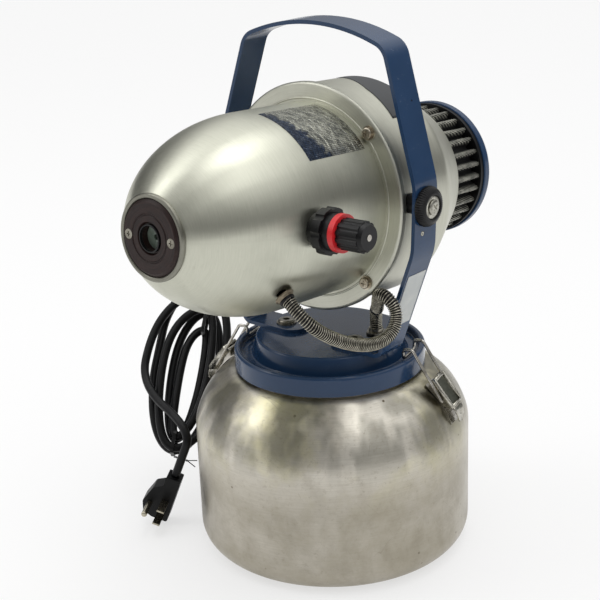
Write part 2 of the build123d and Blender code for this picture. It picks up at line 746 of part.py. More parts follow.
with BuildPart() as valve_nut:
    with BuildSketch(radial_plane(valve_s, valve_angle, bell_r - 5)):
        Circle(12.0)
    extrude(amount=valve_nut_in - bell_r + 5)
    add(bell_grown.part, mode=Mode.SUBTRACT)
    with BuildSketch(radial_plane(valve_s, valve_angle, valve_nut_in)):
        Circle(valve_nut_r)
        with PolarLocations(valve_nut_r + 2.2, 8):
            Circle(3.4, mode=Mode.SUBTRACT)
    extrude(amount=valve_nut_out - valve_nut_in)
    with BuildSketch(radial_plane(valve_s, valve_angle, valve_nut_out)):
        Circle(13.5)
    extrude(amount=valve_boss_out - valve_nut_out, taper=8)
    with BuildSketch(radial_plane(valve_s, valve_angle, valve_in)):
        Circle(spigot_r)
    extrude(amount=valve_nut_out - valve_in)
    with BuildSketch(radial_plane(valve_s, valve_angle, valve_in)):
        Circle(stem_r + bore_gap)
    extrude(amount=40, mode=Mode.SUBTRACT)

with BuildPart() as valve_collar:
    with BuildSketch(radial_plane(valve_s, valve_angle, valve_boss_out)):
        Circle(13.4)
        Circle(stem_r + bore_gap, mode=Mode.SUBTRACT)
    extrude(amount=collar_out - valve_boss_out)

knob_base = collar_out + seat_gap
knob_nose = 2.8
with BuildPart() as valve_stem:
    with BuildSketch(radial_plane(valve_s, valve_angle, valve_in + 2)):
        Circle(stem_r)
    extrude(amount=knob_base - valve_in - 2)

with BuildPart() as valve_knob:
    with BuildSketch(radial_plane(valve_s, valve_angle, knob_base)):
        Circle(11.0)
        with PolarLocations(12.1, 12):
            Circle(2.0, mode=Mode.SUBTRACT)
    extrude(amount=knob_out - knob_base - knob_nose)
    with BuildSketch(radial_plane(valve_s, valve_angle, knob_out - knob_nose)):
        Circle(10.0)
    extrude(amount=knob_nose, taper=25)
    with BuildSketch(radial_plane(valve_s, valve_angle, knob_out - 1)):
        Circle(2.5)
    extrude(amount=2, mode=Mode.SUBTRACT)

with BuildPart() as knob_screw:
    with BuildSketch(radial_plane(valve_s, valve_angle, knob_out - 1)):
        Circle(2.3)
    extrude(amount=1.3)

with BuildPart() as hose_ferrule:
    with BuildSketch(radial_plane(ferrule_s, ferrule_angle, bell_r - 6)) as ferrule_base:
        Circle(7.4)
    with BuildSketch(radial_plane(ferrule_s, ferrule_angle, ferrule_out)) as ferrule_top:
        Circle(6.2)
    loft()
    add(bell_grown.part, mode=Mode.SUBTRACT)
    with BuildSketch(radial_plane(ferrule_s, ferrule_angle, bell_r - 8)):
        Circle(4.0)
    extrude(amount=ferrule_out - bell_r + 8)
    with BuildSketch(radial_plane(ferrule_s, ferrule_angle, bell_r - 8)):
        Circle(2.4)
    extrude(amount=60, mode=Mode.SUBTRACT)

gland_out = gland_r + 9.0
with BuildPart() as cord_gland:
    with BuildSketch(radial_plane(gland_s, gland_angle, gland_r - 9)):
        RegularPolygon(9.0, 6)
    extrude(amount=15)
    add(housing_grown.part, mode=Mode.SUBTRACT)
    with BuildSketch(radial_plane(gland_s, gland_angle, gland_r + 6)):
        Circle(6.0)
    extrude(amount=3)
    with BuildSketch(radial_plane(gland_s, gland_angle, gland_r - 9)):
        Circle(4.8)
    extrude(amount=12)

with BuildPart() as switch_body:
    with BuildSketch(radial_plane(switch_s, switch_angle, housing_r - 3)):
        RegularPolygon(8.6, 6)
    extrude(amount=7)
    add(housing_grown.part, mode=Mode.SUBTRACT)
    with BuildSketch(radial_plane(switch_s, switch_angle, housing_r - 20)):
        Circle(6.0)
    extrude(amount=26)
    with BuildSketch(radial_plane(switch_s, switch_angle, housing_r + 1)):
        Rectangle(9.0, 4.4)
    extrude(amount=10, mode=Mode.SUBTRACT)

switch_pivot_out = housing_r + 3.4
with BuildPart() as switch_lever:
    lever_dir = radial(switch_angle) * cos(radians(12)) + head_dir * sin(radians(12))
    lever_o = head_o + head_dir * switch_s + radial(switch_angle) * switch_pivot_out
    with BuildSketch(Plane(origin=lever_o, z_dir=lever_dir)):
        Circle(1.5)
    extrude(amount=11, taper=-4)
    hinge_dir = radial(switch_angle).cross(head_dir)
    with BuildSketch(Plane(origin=lever_o - hinge_dir * 2.0, z_dir=hinge_dir)):
        Circle(1.8)
    extrude(amount=4.0)

foil_half_angle = 22.0
with BuildPart() as foil_plate:
    with BuildSketch(Plane(origin=head_o, x_dir=radial(60.5), z_dir=radial(60.5).cross(head_dir))):
        with BuildLine():
            sheet = [(bell_r + 0.02, -85), (bell_r + 0.32, -85), (bell_r + 0.32, -25), (bell_r + 0.02, -25)]
            Polyline(*sheet, close=True)
        make_face()
    revolve(axis=head_axis, revolution_arc=foil_half_angle)
    mirror(about=Plane(origin=head_o, x_dir=head_dir, z_dir=radial(60.5).cross(head_dir)))

# ---- Toggle latches

lever_d = Vector(cos(lever_slope), -sin(lever_slope))
lever_m = Vector(-lever_d.Y, lever_d.X)


def latch_plane(angle):
    """Upright plane through the tank's axis: X out, Y up."""
    out = Vector(cos(radians(angle)), sin(radians(angle)), 0)
    return Plane(origin=(0, 0, 0), x_dir=out, z_dir=(out.Y, -out.X, 0))


def on_lever(along, across):
    """Local point of a latch at a distance down the lever from its pin and out from its plate."""
    point = Vector(pin_r_pos, pin_z) + lever_d * along + lever_m * across
    return (point.X, point.Y)


def lever_solid(plane):
    """Pressed lever: plate with two side flanges, an open hook end and a finger lip."""
    plate = [(-1.8, 3.1), (26, 3.1), (26, 1.9), (-1.8, 1.9)]
    lip = [(25, 3.1), (31, 2.2), (38.3, -1.6), (37.6, -2.6), (30.6, 1.0), (25, 1.9)]
    flange = [(-1.8, 2.5), (23, 2.5), (20, -2.8), (13, -2.8), (9, -1.6), (5, -1.6), (2.0, -2.0), (-1.8, -2.0)]
    with BuildPart() as made:
        for outline, half_w in ((plate, lever_half_w), (lip, lip_half_w)):
            with BuildSketch(plane):
                with BuildLine():
                    Polyline(*[on_lever(*point) for point in outline], close=True)
                make_face()
            extrude(amount=half_w, both=True)
        for side in (1, -1):
            with BuildSketch(plane.offset(side * (lever_half_w - 1))):
                with BuildLine():
                    Polyline(*[on_lever(*point) for point in flange], close=True)
                make_face()
            extrude(amount=side)
        with BuildSketch(plane):
            with Locations((pin_r_pos, pin_z)):
                Circle(pin_r + bore_gap)
            with Locations((bail_r_pos, bail_z)):
                Circle(bail_wire_r + bore_gap)
        extrude(amount=20, both=True, mode=Mode.SUBTRACT)
    return made.part


def bail_solid(plane):
    """Wire loop: hooked over the lid's rim, its two ends turned in through the lever's flanges."""
    with BuildPart() as made:
        with BuildLine(plane) as wire:
            out = bail_half_w
            over_z = lid_rim_top_z + 7.1
            leg = [(bail_r_pos, bail_z, out), (lid_skirt_r - 0.3, over_z, out)]
            leg += [(lid_rim_in_r - 2.2, over_z, out)]
            leg += [(lid_rim_in_r - 2.6, lid_rim_top_z - 0.9, out)]
            back = [(r, z, -out) for r, z, out in reversed(leg)]
            ends = [(bail_r_pos, bail_z, 7.4), *leg, *back, (bail_r_pos, bail_z, -7.4)]
            FilletPolyline(*ends, radius=[1.6, 3.0, 3.0, 3.0, 3.0, 3.0, 3.0, 1.6])
        with BuildSketch(Plane(origin=wire.line @ 0, z_dir=wire.line % 0)):
            Circle(bail_wire_r)
        sweep()
    return made.part


latch_levers = [lever_solid(latch_plane(angle)) for angle in latch_angles]
latch_bails = [bail_solid(latch_plane(angle)) for angle in latch_angles]

plate_turn = 5.0
base_radii = [tank_r - inward for inward in (25.5, 22.0, 18.5, 15.0, 11.8, 9.0, 6.6, 4.6, 3.2)]
ear_in = 6.2
with BuildPart() as latch_bases:
    for angle in latch_angles:
        out = Vector(cos(radians(angle)), sin(radians(angle)), 0)
        for side in (1, -1):
            with BuildSketch(latch_plane(angle)):
                with BuildLine():
                    lift = seat_gap + 0.1
                    low = [(r, dome_z(r) + lift) for r in base_radii]
                    high = [(r + 0.6, z + 0.8) for r, z in reversed(low)]
                    Polyline(*low, *high, close=True)
                make_face()
            revolve(axis=Axis.Z, revolution_arc=side * plate_turn)
        for side in (1, -1):
            with BuildSketch(latch_plane(angle).offset(side * ear_in)):
                with BuildLine():
                    foot = [(r, dome_z(r) + 1.0) for r in (tank_r - 13.0, tank_r - 22.5)]
                    head = [on_lever(-1.6, -0.4), on_lever(-1.1, 1.2)]
                    head += [on_lever(1.1, 1.2), on_lever(2.4, -0.6)]
                    Polyline(*foot, *head, close=True)
                make_face()
            extrude(amount=side * 1.4)
        with BuildSketch(latch_plane(angle)):
            with Locations((pin_r_pos, pin_z)):
                Circle(pin_r + bore_gap)
        extrude(amount=20, both=True, mode=Mode.SUBTRACT)

with BuildPart() as latch_pins:
    for angle in latch_angles:
        with BuildSketch(latch_plane(angle)):
            with Locations((pin_r_pos, pin_z)):
                Circle(pin_r)
        extrude(amount=lever_half_w + 0.2, both=True)

# ---- Hose from the bell's ferrule, past the yoke, to the lid's fitting

hose_start = head_o + head_dir * ferrule_s + radial(ferrule_angle) * ferrule_out
hose_dir = radial(ferrule_angle)
hose_points = [hose_start, hose_start + hose_dir * 16, Vector(82, -100, 220), Vector(86, -80, 208.5)]
hose_points += [Vector(88, -61, 201.5), Vector(90, -44, 200.5), Vector(91, -32, 208)]
hose_points += [Vector(89, -28.5, 219.5), Vector(82.5, -29.5, 227.5), Vector(72.5, -27.5, 228.5)]
hose_points += [Vector(65, -19.5, 217.5), Vector(57, -10, 208)]
hose_points += [Vector(47, 2, 203), Vector(*fitting_xy, 196), Vector(*fitting_xy, fitting_top_z)]


def bend_radii(points):
    """Radius at each inner point, from the shorter run beside it and its turn."""
    radii = []
    for k in range(1, len(points) - 1):
        run_in = Vector(points[k]) - Vector(points[k - 1])
        run_out = Vector(points[k + 1]) - Vector(points[k])
        turn = radians(run_in.get_angle(run_out))
        radii.append(0.45 * min(run_in.length, run_out.length) / tan(turn / 2))
    return radii


def cord_solid(points, radius, bore=0.0):
    """Tube along straight runs joined by tangent arcs."""
    with BuildPart() as made:
        with BuildLine() as route:
            FilletPolyline(*points, radius=bend_radii(points))
        with BuildSketch(Plane(origin=route.line @ 0, z_dir=route.line % 0)):
            Circle(radius)
            if bore:
                Circle(bore, mode=Mode.SUBTRACT)
        sweep()
    return made.part, sum(edge.length for edge in route.edges())


hose_tube, hose_length = cord_solid(hose_points, hose_tube_r, hose_tube_r - 1.2)
print("hose radii", [round(r, 1) for r in bend_radii(hose_points)], "length", round(hose_length, 1))

# ---- Wire sheath round the hose and the wound cord

spring_turns = 50
spring_wire_r = 0.6
spring_mean_r = hose_r - spring_wire_r
cord_r = 3.6


def arcs_through(points, tangents):
    """Two tangent arcs between each pair of points, leaving and arriving along the given directions."""
    for k in range(len(points) - 1):
        start, end = Vector(points[k]), Vector(points[k + 1])
        go, come = Vector(tangents[k]).normalized(), Vector(tangents[k + 1]).normalized()
        chord = end - start
        both = go + come
        a = 2 * (1 - go.dot(come))
        b = 2 * chord.dot(both)
        reach = chord.dot(chord) / b if a < 1e-6 else (sqrt(b * b + 4 * a * chord.dot(chord)) - b) / (2 * a)
        middle = (start + go * reach + end - come * reach) * 0.5
        TangentArc(start, middle, tangent=go)
        TangentArc(middle, end, tangent=(end - come * reach) - (start + go * reach))


def samples(edges, step):
    """Points along an ordered list of edges, about one step apart."""
    points = []
    for edge in edges:
        count = max(2, int(edge.length / step))
        points += [edge.position_at(k / count) for k in range(count)]
    return points


def least_gap(points, thickness, skip):
    """Least space between parts of one tube that are more than skip samples apart."""
    found = 1e9
    for i in range(0, len(points) - skip):
        for j in range(i + skip, len(points)):
            found = min(found, (points[i] - points[j]).length)
    return found - thickness


with BuildPart() as hose_spring:
    with BuildLine(mode=Mode.PRIVATE) as centre:
        FilletPolyline(*hose_points, radius=bend_radii(hose_points))
    centre_wire = centre.wires()[0]
    steps = 4 * spring_turns
    side = centre_wire.tangent_at(0).cross(Vector(0, 0, 1)).normalized()
    ends_free = 3.0 / hose_length
    ring_points, ring_tangents, axis_points = [], [], []
    for k in range(steps + 1):
        share = ends_free + (1 - 2 * ends_free) * k / steps
        along = centre_wire.tangent_at(share)
        side = (side - along * side.dot(along)).normalized()
        other = along.cross(side)
        turn = pi / 2 * k
        out = side * cos(turn) + other * sin(turn)
        ring_points.append(centre_wire.position_at(share) + out * spring_mean_r)
        ring_tangents.append(out)
        axis_points.append(along)
    pitch = hose_length * (1 - 2 * ends_free) / spring_turns
    for k in range(steps + 1):
        round_dir = axis_points[k].cross(ring_tangents[k])
        ring_tangents[k] = round_dir * (2 * pi * spring_mean_r) + axis_points[k] * pitch
    with BuildLine() as spring_line:
        first, last = ring_tangents[0].normalized(), ring_tangents[-1].normalized()
        Line(ring_points[0] - first * 2 * spring_wire_r, ring_points[0])
        arcs_through(ring_points, ring_tangents)
        Line(ring_points[-1], ring_points[-1] + last * 2 * spring_wire_r)
    spring_edges = spring_line.edges()
    with BuildSketch(Plane(origin=ring_points[0] - first * 2 * spring_wire_r, z_dir=first)):
        Circle(spring_wire_r)
    sweep(path=spring_line.wires()[0])
spring_samples = samples(spring_edges, 1.0)
print("spring least gap", round(least_gap(spring_samples, 2 * spring_wire_r, 14), 2))

def beside_tank(gap, angle, z):
    """Point outside the tank at a distance from its wall, an angle from +X and a height."""
    return Vector(cos(radians(angle)), sin(radians(angle)), 0) * (tank_r + gap) + Vector(0, 0, z)


# Hank: U to the left as seen, V down, N toward the viewer
hank_top = beside_tank(52.202, 173.629, 146.3)
hank_low = beside_tank(30.303, 210.971, 36.3)
hank_v = (hank_low - hank_top).normalized()
hank_u = Vector(-0.747, -0.665, 0)
hank_u = (hank_u - hank_v * hank_u.dot(hank_v)).normalized()
hank_n = hank_u.cross(hank_v)
layer = 4.9           # each layer's distance from the middle
last_quarter = 17


def hank(u, v, n):
    return hank_top + hank_u * u + hank_v * v + hank_n * n


def hank_anchor(q):
    """Point and direction of the hank at a quarter turn: 0 top, 1 left, 2 bottom, 3 right."""
    if q <= 8:
        rank, n = 4 - q / 2, -layer
    elif q < 10:
        rank, n = 0.5, 0.0
    else:
        rank, n = 1 + (q - 10) / 2, layer
    spots = [(-3.4, 11.7 - 8.3 * rank), (6 + 7.75 * rank, 42.8)]
    spots += [(2.3, 107.7 + 5 * rank), (-5 - 6.8 * rank, 56.8)]
    ways = [hank_u, hank_v, hank_u * -1, hank_v * -1]
    u, v = spots[q % 4]
    return hank(u, v, n), ways[q % 4]


# Plug: W across its face, L along it away from the cord, F out of its face
plug_w = Vector(0.775, 0.5135, -0.367).normalized()
plug_f = Vector(0.545, -0.838, -0.0175).normalized()
plug_l = plug_w.cross(plug_f)
plug_o = beside_tank(34.662, 217.218, 16.5)
plug_t = 15.0
plug_top = 28.6
plug_plane = Plane(origin=plug_o, x_dir=plug_w, z_dir=plug_f)
tail_end = plug_o + plug_w * 0.6 - plug_l * plug_top - plug_f * (plug_t / 2)

anchors = [hank_anchor(q) for q in range(1, last_quarter + 1)]
hank_start = anchors[0][0] - hank_v * 2 * cord_r
with BuildPart() as cord_hank:
    with BuildLine() as hank_line:
        Line(hank_start, anchors[0][0])
        stops = [point for point, way in anchors] + [tail_end - plug_l * 2 * cord_r]
        headings = [way for point, way in anchors] + [plug_l]
        arcs_through(stops, headings)
        Line(tail_end - plug_l * 2 * cord_r, tail_end)
    hank_edges = hank_line.edges()
    with BuildSketch(Plane(origin=hank_start, z_dir=hank_v)):
        Circle(cord_r)
    sweep(path=hank_line.wires()[0])
hank_samples = samples(hank_edges, 3.0)
print("hank length", round(sum(edge.length for edge in hank_edges), 1), "radii",
      sorted(round(edge.radius, 1) for edge in hank_edges if edge.geom_type == GeomType.CIRCLE)[:6])
print("hank least gap", round(least_gap(hank_samples, 2 * cord_r, 10), 2))
tank_gaps = []
for p in hank_samples:
    wall_r = tank_r if p.Z < shoulder_z else dome_r(p.Z)
    tank_gaps.append((hypot(p.X, p.Y) - wall_r - cord_r, round(p.Z)))
print("hank to tank", min(tank_gaps))

gland_dir = radial(gland_angle)
gland_end = head_o + head_dir * gland_s + gland_dir * gland_out
lead_points = [gland_end, gland_end + gland_dir * 18, Vector(-116, 44, 216), Vector(-142, 38, 199)]
lead_points += [beside_tank(77.115, 169.531, 174), hank_start - hank_v * 36, hank_start]
cord_lead, lead_length = cord_solid(lead_points, cord_r)
print("lead radii", [round(r, 1) for r in bend_radii(lead_points)], "length", round(lead_length, 1))
print("volume share", round(cord_lead.volume / (pi * cord_r ** 2 * lead_length), 4),
      round(cord_hank.part.volume / (pi * cord_r ** 2 * sum(edge.length for edge in hank_edges)), 4),
      round(hose_spring.part.volume / (pi * spring_wire_r ** 2 * sum(edge.length for edge in spring_edges)), 4))

tie_t = 1.2
with BuildPart() as hank_ties:
    for u, v, length, width in ((-3.4, -4.9, 41.6, 17.6), (2.3, 117.7, 17.6, 17.6)):
        with BuildSketch(Plane(origin=hank(u - 1.5, v, 0), x_dir=hank_v, z_dir=hank_u)):
            RectangleRounded(length + 2 * tie_t, width + 2 * tie_t, 4.6)
            RectangleRounded(length, width, 3.6, mode=Mode.SUBTRACT)
        extrude(amount=3)

with BuildPart() as plug_body:
    with BuildSketch(plug_plane):
        with BuildLine():
            outline = [(7, -11.9), (7, plug_top), (-5.8, plug_top), (-5.8, 20.0)]
            outline += [(-13.3, 15.3), (-18.3, 0), (-15, -9), (-6.9, -11.9)]
            FilletPolyline(*outline, radius=[2, 1, 1, 2, 4, 4, 3, 3], close=True)
        make_face()
    extrude(amount=-plug_t)

with BuildPart() as plug_blades:
    with BuildSketch(plug_plane):
        with Locations((0, 6.35), (0, -6.35)):
            Rectangle(6.35, 1.5)
    extrude(amount=17.5)

with BuildPart() as plug_ground_pin:
    with BuildSketch(plug_plane):
        with Locations((-11.9, 0)):
            Circle(2.4)
    extrude(amount=20.5)
    fillet(plug_ground_pin.faces().sort_by(Axis(plug_o, plug_f))[-1].edges(), 1.4)

# ---- Write the pieces

pieces = {
    "tank_shell": tank_shell.part, "lid": lid.part, "lid_gasket": lid_gasket.part, "yoke_strap": yoke_strap.part,
    "strap_bolts": strap_bolts.part, "strap_nuts": strap_nuts.part, "hose_lid_fitting": hose_lid_fitting.part,
    "dip_tube": dip_tube.part, "dip_strainer": dip_strainer.part, "nose_bell": nose_bell.part,
    "nose_lip_ring": nose_lip_ring.part, "nose_disc": nose_disc.part, "nose_screws": nose_screws.part,
    "nozzle_ring": nozzle_ring.part, "nozzle_core": nozzle_core.part, "feed_tube": feed_tube.part,
    "flange_ring": flange_ring.part, "flange_screws": flange_screws.part, "motor_housing": motor_housing.part,
    "pivot_bushes": pivot_bushes.part, "pivot_knobs": pivot_knobs.part, "pivot_screws": pivot_screws.part,
    "pivot_nuts": pivot_nuts.part, "motor_stator": motor_stator.part, "motor_mount": motor_mount.part,
    "motor_bearings": motor_bearings.part, "motor_shaft": motor_shaft.part, "armature": armature.part,
    "front_fan": front_fan.part, "rear_fan": rear_fan.part, "filter_rings": filter_rings.part,
    "filter_element": filter_element.part, "filter_cap": filter_cap.part, "filter_bracket": filter_bracket.part,
    "filter_rod": filter_rod.part, "filter_nut": filter_nut.part, "valve_nut": valve_nut.part,
    "valve_collar": valve_collar.part, "valve_stem": valve_stem.part, "valve_knob": valve_knob.part,
    "knob_screw": knob_screw.part, "hose_ferrule": hose_ferrule.part, "cord_gland": cord_gland.part,
    "switch_body": switch_body.part, "switch_lever": switch_lever.part, "foil_plate": foil_plate.part,
    "latch_lever_right": latch_levers[0], "latch_lever_left": latch_levers[1],
    "latch_bail_right": latch_bails[0], "latch_bail_left": latch_bails[1],
    "latch_bases": latch_bases.part, "latch_pins": latch_pins.part, "hose_tube": hose_tube,
    "hose_spring": hose_spring.part, "cord_lead": cord_lead, "cord_hank": cord_hank.part,
    "hank_ties": hank_ties.part, "plug_body": plug_body.part, "plug_blades": plug_blades.part,
    "plug_ground_pin": plug_ground_pin.part,
}
for name, piece in pieces.items():
    piece.label = name
    export_step(piece, "parts/" + name + ".step")
    print(name, len(piece.solids()), round(piece.volume / 1000, 2))
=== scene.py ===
"""Electric cold fogger: looks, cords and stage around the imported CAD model."""
from math import cos, pi, radians, sin

import bmesh
import bpy
from mathutils import Matrix, Vector


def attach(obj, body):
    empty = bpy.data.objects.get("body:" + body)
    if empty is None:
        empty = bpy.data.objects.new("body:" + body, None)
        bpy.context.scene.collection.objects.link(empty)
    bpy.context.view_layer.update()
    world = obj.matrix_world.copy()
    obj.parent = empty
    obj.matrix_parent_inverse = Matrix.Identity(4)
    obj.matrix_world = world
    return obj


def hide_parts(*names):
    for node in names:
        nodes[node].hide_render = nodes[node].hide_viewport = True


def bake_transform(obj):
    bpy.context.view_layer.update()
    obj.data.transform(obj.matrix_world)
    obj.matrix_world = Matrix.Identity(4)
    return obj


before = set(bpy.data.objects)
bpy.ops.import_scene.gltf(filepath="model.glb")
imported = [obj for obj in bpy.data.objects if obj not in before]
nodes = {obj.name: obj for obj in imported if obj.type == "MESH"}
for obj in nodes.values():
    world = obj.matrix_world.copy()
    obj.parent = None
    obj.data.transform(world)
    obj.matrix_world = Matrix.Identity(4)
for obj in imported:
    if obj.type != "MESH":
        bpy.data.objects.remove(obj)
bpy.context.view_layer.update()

MM = 0.001


def mm(x, y, z):
    """A point given in the CAD source's millimetres."""
    return Vector((x, y, z)) * MM


# ---- Places shared with the CAD source

head_o = mm(0, 0.86, 286.3)
head_tilt = -0.0597
head_dir = Vector((0, cos(head_tilt), sin(head_tilt)))
head_up = Vector((0, -sin(head_tilt), cos(head_tilt)))


def radial(angle):
    """Direction out from the head's axis, with the angle in degrees from +X."""
    return Vector((1, 0, 0)) * cos(radians(angle)) + head_up * sin(radians(angle))


def on_head(s, angle, out):
    """Point at a station along the head, an angle and a radius, in millimetres."""
    return head_o + (head_dir * s + radial(angle) * out) * MM


# ---- Camera, as fitted to the photograph

cam_azimuth = 0.7051236
cam_distance = 0.99102
cam_height = 0.555678
cam_yaw = 0.022224
cam_pitch = 0.343754
cam_roll = 0.039765
sensor_mm = 36.0
focal_share = 1338.09 / 600    # focal length over the frame's width


def make_camera():
    heading = cam_azimuth + cam_yaw
    forward = Vector((-sin(heading) * cos(cam_pitch), cos(heading) * cos(cam_pitch), -sin(cam_pitch)))
    level = Vector((cos(heading), sin(heading), 0))
    down = forward.cross(level)
    right = level * cos(cam_roll) + down * sin(cam_roll)
    below = down * cos(cam_roll) - level * sin(cam_roll)
    data = bpy.data.cameras.new("camera")
    data.sensor_width = sensor_mm
    data.lens = sensor_mm * focal_share
    data.clip_start = 0.05
    data.clip_end = 60
    camera = bpy.data.objects.new("camera", data)
    bpy.context.scene.collection.objects.link(camera)
    turn = Matrix((right, -below, -forward)).transposed()
    camera.matrix_world = turn.to_4x4()
    camera.location = (cam_distance * sin(cam_azimuth), -cam_distance * cos(cam_azimuth), cam_height)
    bpy.context.scene.camera = camera


# ---- Node materials


def srgb(r, g, b):
    """Linear colour from 0 to 255 screen values."""
    parts = [v / 255 for v in (r, g, b)]
    return tuple(v / 12.92 if v < 0.04045 else ((v + 0.055) / 1.055) ** 2.4 for v in parts)


class Finish:
    """A Principled material and the nodes that feed it."""

    def __init__(self, name, rough, metal=0.0, **sockets):
        self.mat = bpy.data.materials.new(name)
        self.mat.use_nodes = True
        self.tree = self.mat.node_tree
        self.shader = self.tree.nodes["Principled BSDF"]
        self.shader.inputs["Roughness"].default_value = rough
        self.shader.inputs["Metallic"].default_value = metal
        for key, value in sockets.items():
            self.shader.inputs[key.replace("_", " ").title()].default_value = value
        self.coord = self.tree.nodes.new("ShaderNodeTexCoord").outputs["Object"]

    def put(self, socket, value):
        """Links an output, or sets a constant."""
        if isinstance(value, bpy.types.NodeSocket):
            self.tree.links.new(value, socket)
        elif isinstance(value, (tuple, list)) and len(value) == 3 and socket.type == "RGBA":
            socket.default_value = (*value, 1)
        else:
            socket.default_value = value

    def calc(self, op, a, b=0.0, c=0.0):
        node = self.tree.nodes.new("ShaderNodeMath")
        node.operation = op
        for k, value in enumerate((a, b, c)):
            self.put(node.inputs[k], value)
        return node.outputs[0]

    def moved(self, at=(0, 0, 0), turn=(0, 0, 0), scale=(1, 1, 1)):
        """Object coordinates seen from a place that is moved and turned, then scaled."""
        node = self.tree.nodes.new("ShaderNodeMapping")
        node.vector_type = "TEXTURE"
        self.put(node.inputs["Vector"], self.coord)
        node.inputs["Location"].default_value = at
        node.inputs["Rotation"].default_value = turn
        if tuple(scale) == (1, 1, 1):
            return node.outputs[0]
        times = self.tree.nodes.new("ShaderNodeVectorMath")
        times.operation = "MULTIPLY"
        self.put(times.inputs[0], node.outputs[0])
        times.inputs[1].default_value = scale
        return times.outputs[0]

    def noise(self, vector, scale, detail=3.0, rough=0.5, distort=0.0):
        node = self.tree.nodes.new("ShaderNodeTexNoise")
        self.put(node.inputs["Vector"], vector)
        node.inputs["Scale"].default_value = scale
        node.inputs["Detail"].default_value = detail
        node.inputs["Roughness"].default_value = rough
        node.inputs["Distortion"].default_value = distort
        return node.outputs["Fac"]

    def cells(self, vector, scale):
        """Distance to the nearest of scattered spots."""
        node = self.tree.nodes.new("ShaderNodeTexVoronoi")
        self.put(node.inputs["Vector"], vector)
        node.inputs["Scale"].default_value = scale
        return node.outputs["Distance"]

    def ramp(self, value, low, high, start=0.0, end=1.0):
        """Value rescaled so that low gives start and high gives end, held outside."""
        node = self.tree.nodes.new("ShaderNodeMapRange")
        ends = {"Value": value, "From Min": low, "From Max": high, "To Min": start, "To Max": end}
        for key, given in ends.items():
            self.put(node.inputs[key], given)
        return node.outputs[0]

    def mix(self, share, a, b, blend="MIX"):
        node = self.tree.nodes.new("ShaderNodeMix")
        node.data_type = "RGBA"
        node.blend_type = blend
        self.put(node.inputs[0], share)
        self.put(node.inputs[6], a)
        self.put(node.inputs[7], b)
        return node.outputs[2]

    def split(self, vector):
        node = self.tree.nodes.new("ShaderNodeSeparateXYZ")
        self.put(node.inputs[0], vector)
        return node.outputs

    def joined(self, x, y, z):
        node = self.tree.nodes.new("ShaderNodeCombineXYZ")
        for k, value in enumerate((x, y, z)):
            self.put(node.inputs[k], value)
        return node.outputs[0]

    def round_grain(self, local, axis, sign, across, along):
        """Coordinates for streaks that run round an axis: slow round it, quick along the outline."""
        parts = self.split(local)
        a, b = [parts[k] for k in range(3) if k != axis]
        r = self.calc("SQRT", self.calc("ADD", self.calc("MULTIPLY", a, a), self.calc("MULTIPLY", b, b)))
        r_safe = self.calc("MAXIMUM", r, 1e-4)
        outline = self.calc("ADD", parts[axis], self.calc("MULTIPLY", r, sign))
        round_a = self.calc("MULTIPLY", self.calc("DIVIDE", a, r_safe), across)
        round_b = self.calc("MULTIPLY", self.calc("DIVIDE", b, r_safe), across)
        return self.joined(round_a, round_b, self.calc("MULTIPLY", outline, along))

    def tangent_round(self, axis):
        node = self.tree.nodes.new("ShaderNodeTangent")
        node.direction_type = "RADIAL"
        node.axis = axis
        self.put(self.shader.inputs["Tangent"], node.outputs[0])

    def bump(self, height, distance, strength=1.0, under=None):
        node = self.tree.nodes.new("ShaderNodeBump")
        self.put(node.inputs["Height"], height)
        node.inputs["Distance"].default_value = distance
        node.inputs["Strength"].default_value = strength
        if under is not None:
            self.put(node.inputs["Normal"], under)
        return node.outputs[0]

    def finish(self, color=None, rough=None, normal=None):
        for key, value in (("Base Color", color), ("Roughness", rough), ("Normal", normal)):
            if value is not None:
                self.put(self.shader.inputs[key], value)
        return self.mat


head_place = {"at": tuple(head_o), "turn": (head_tilt, 0, 0)}


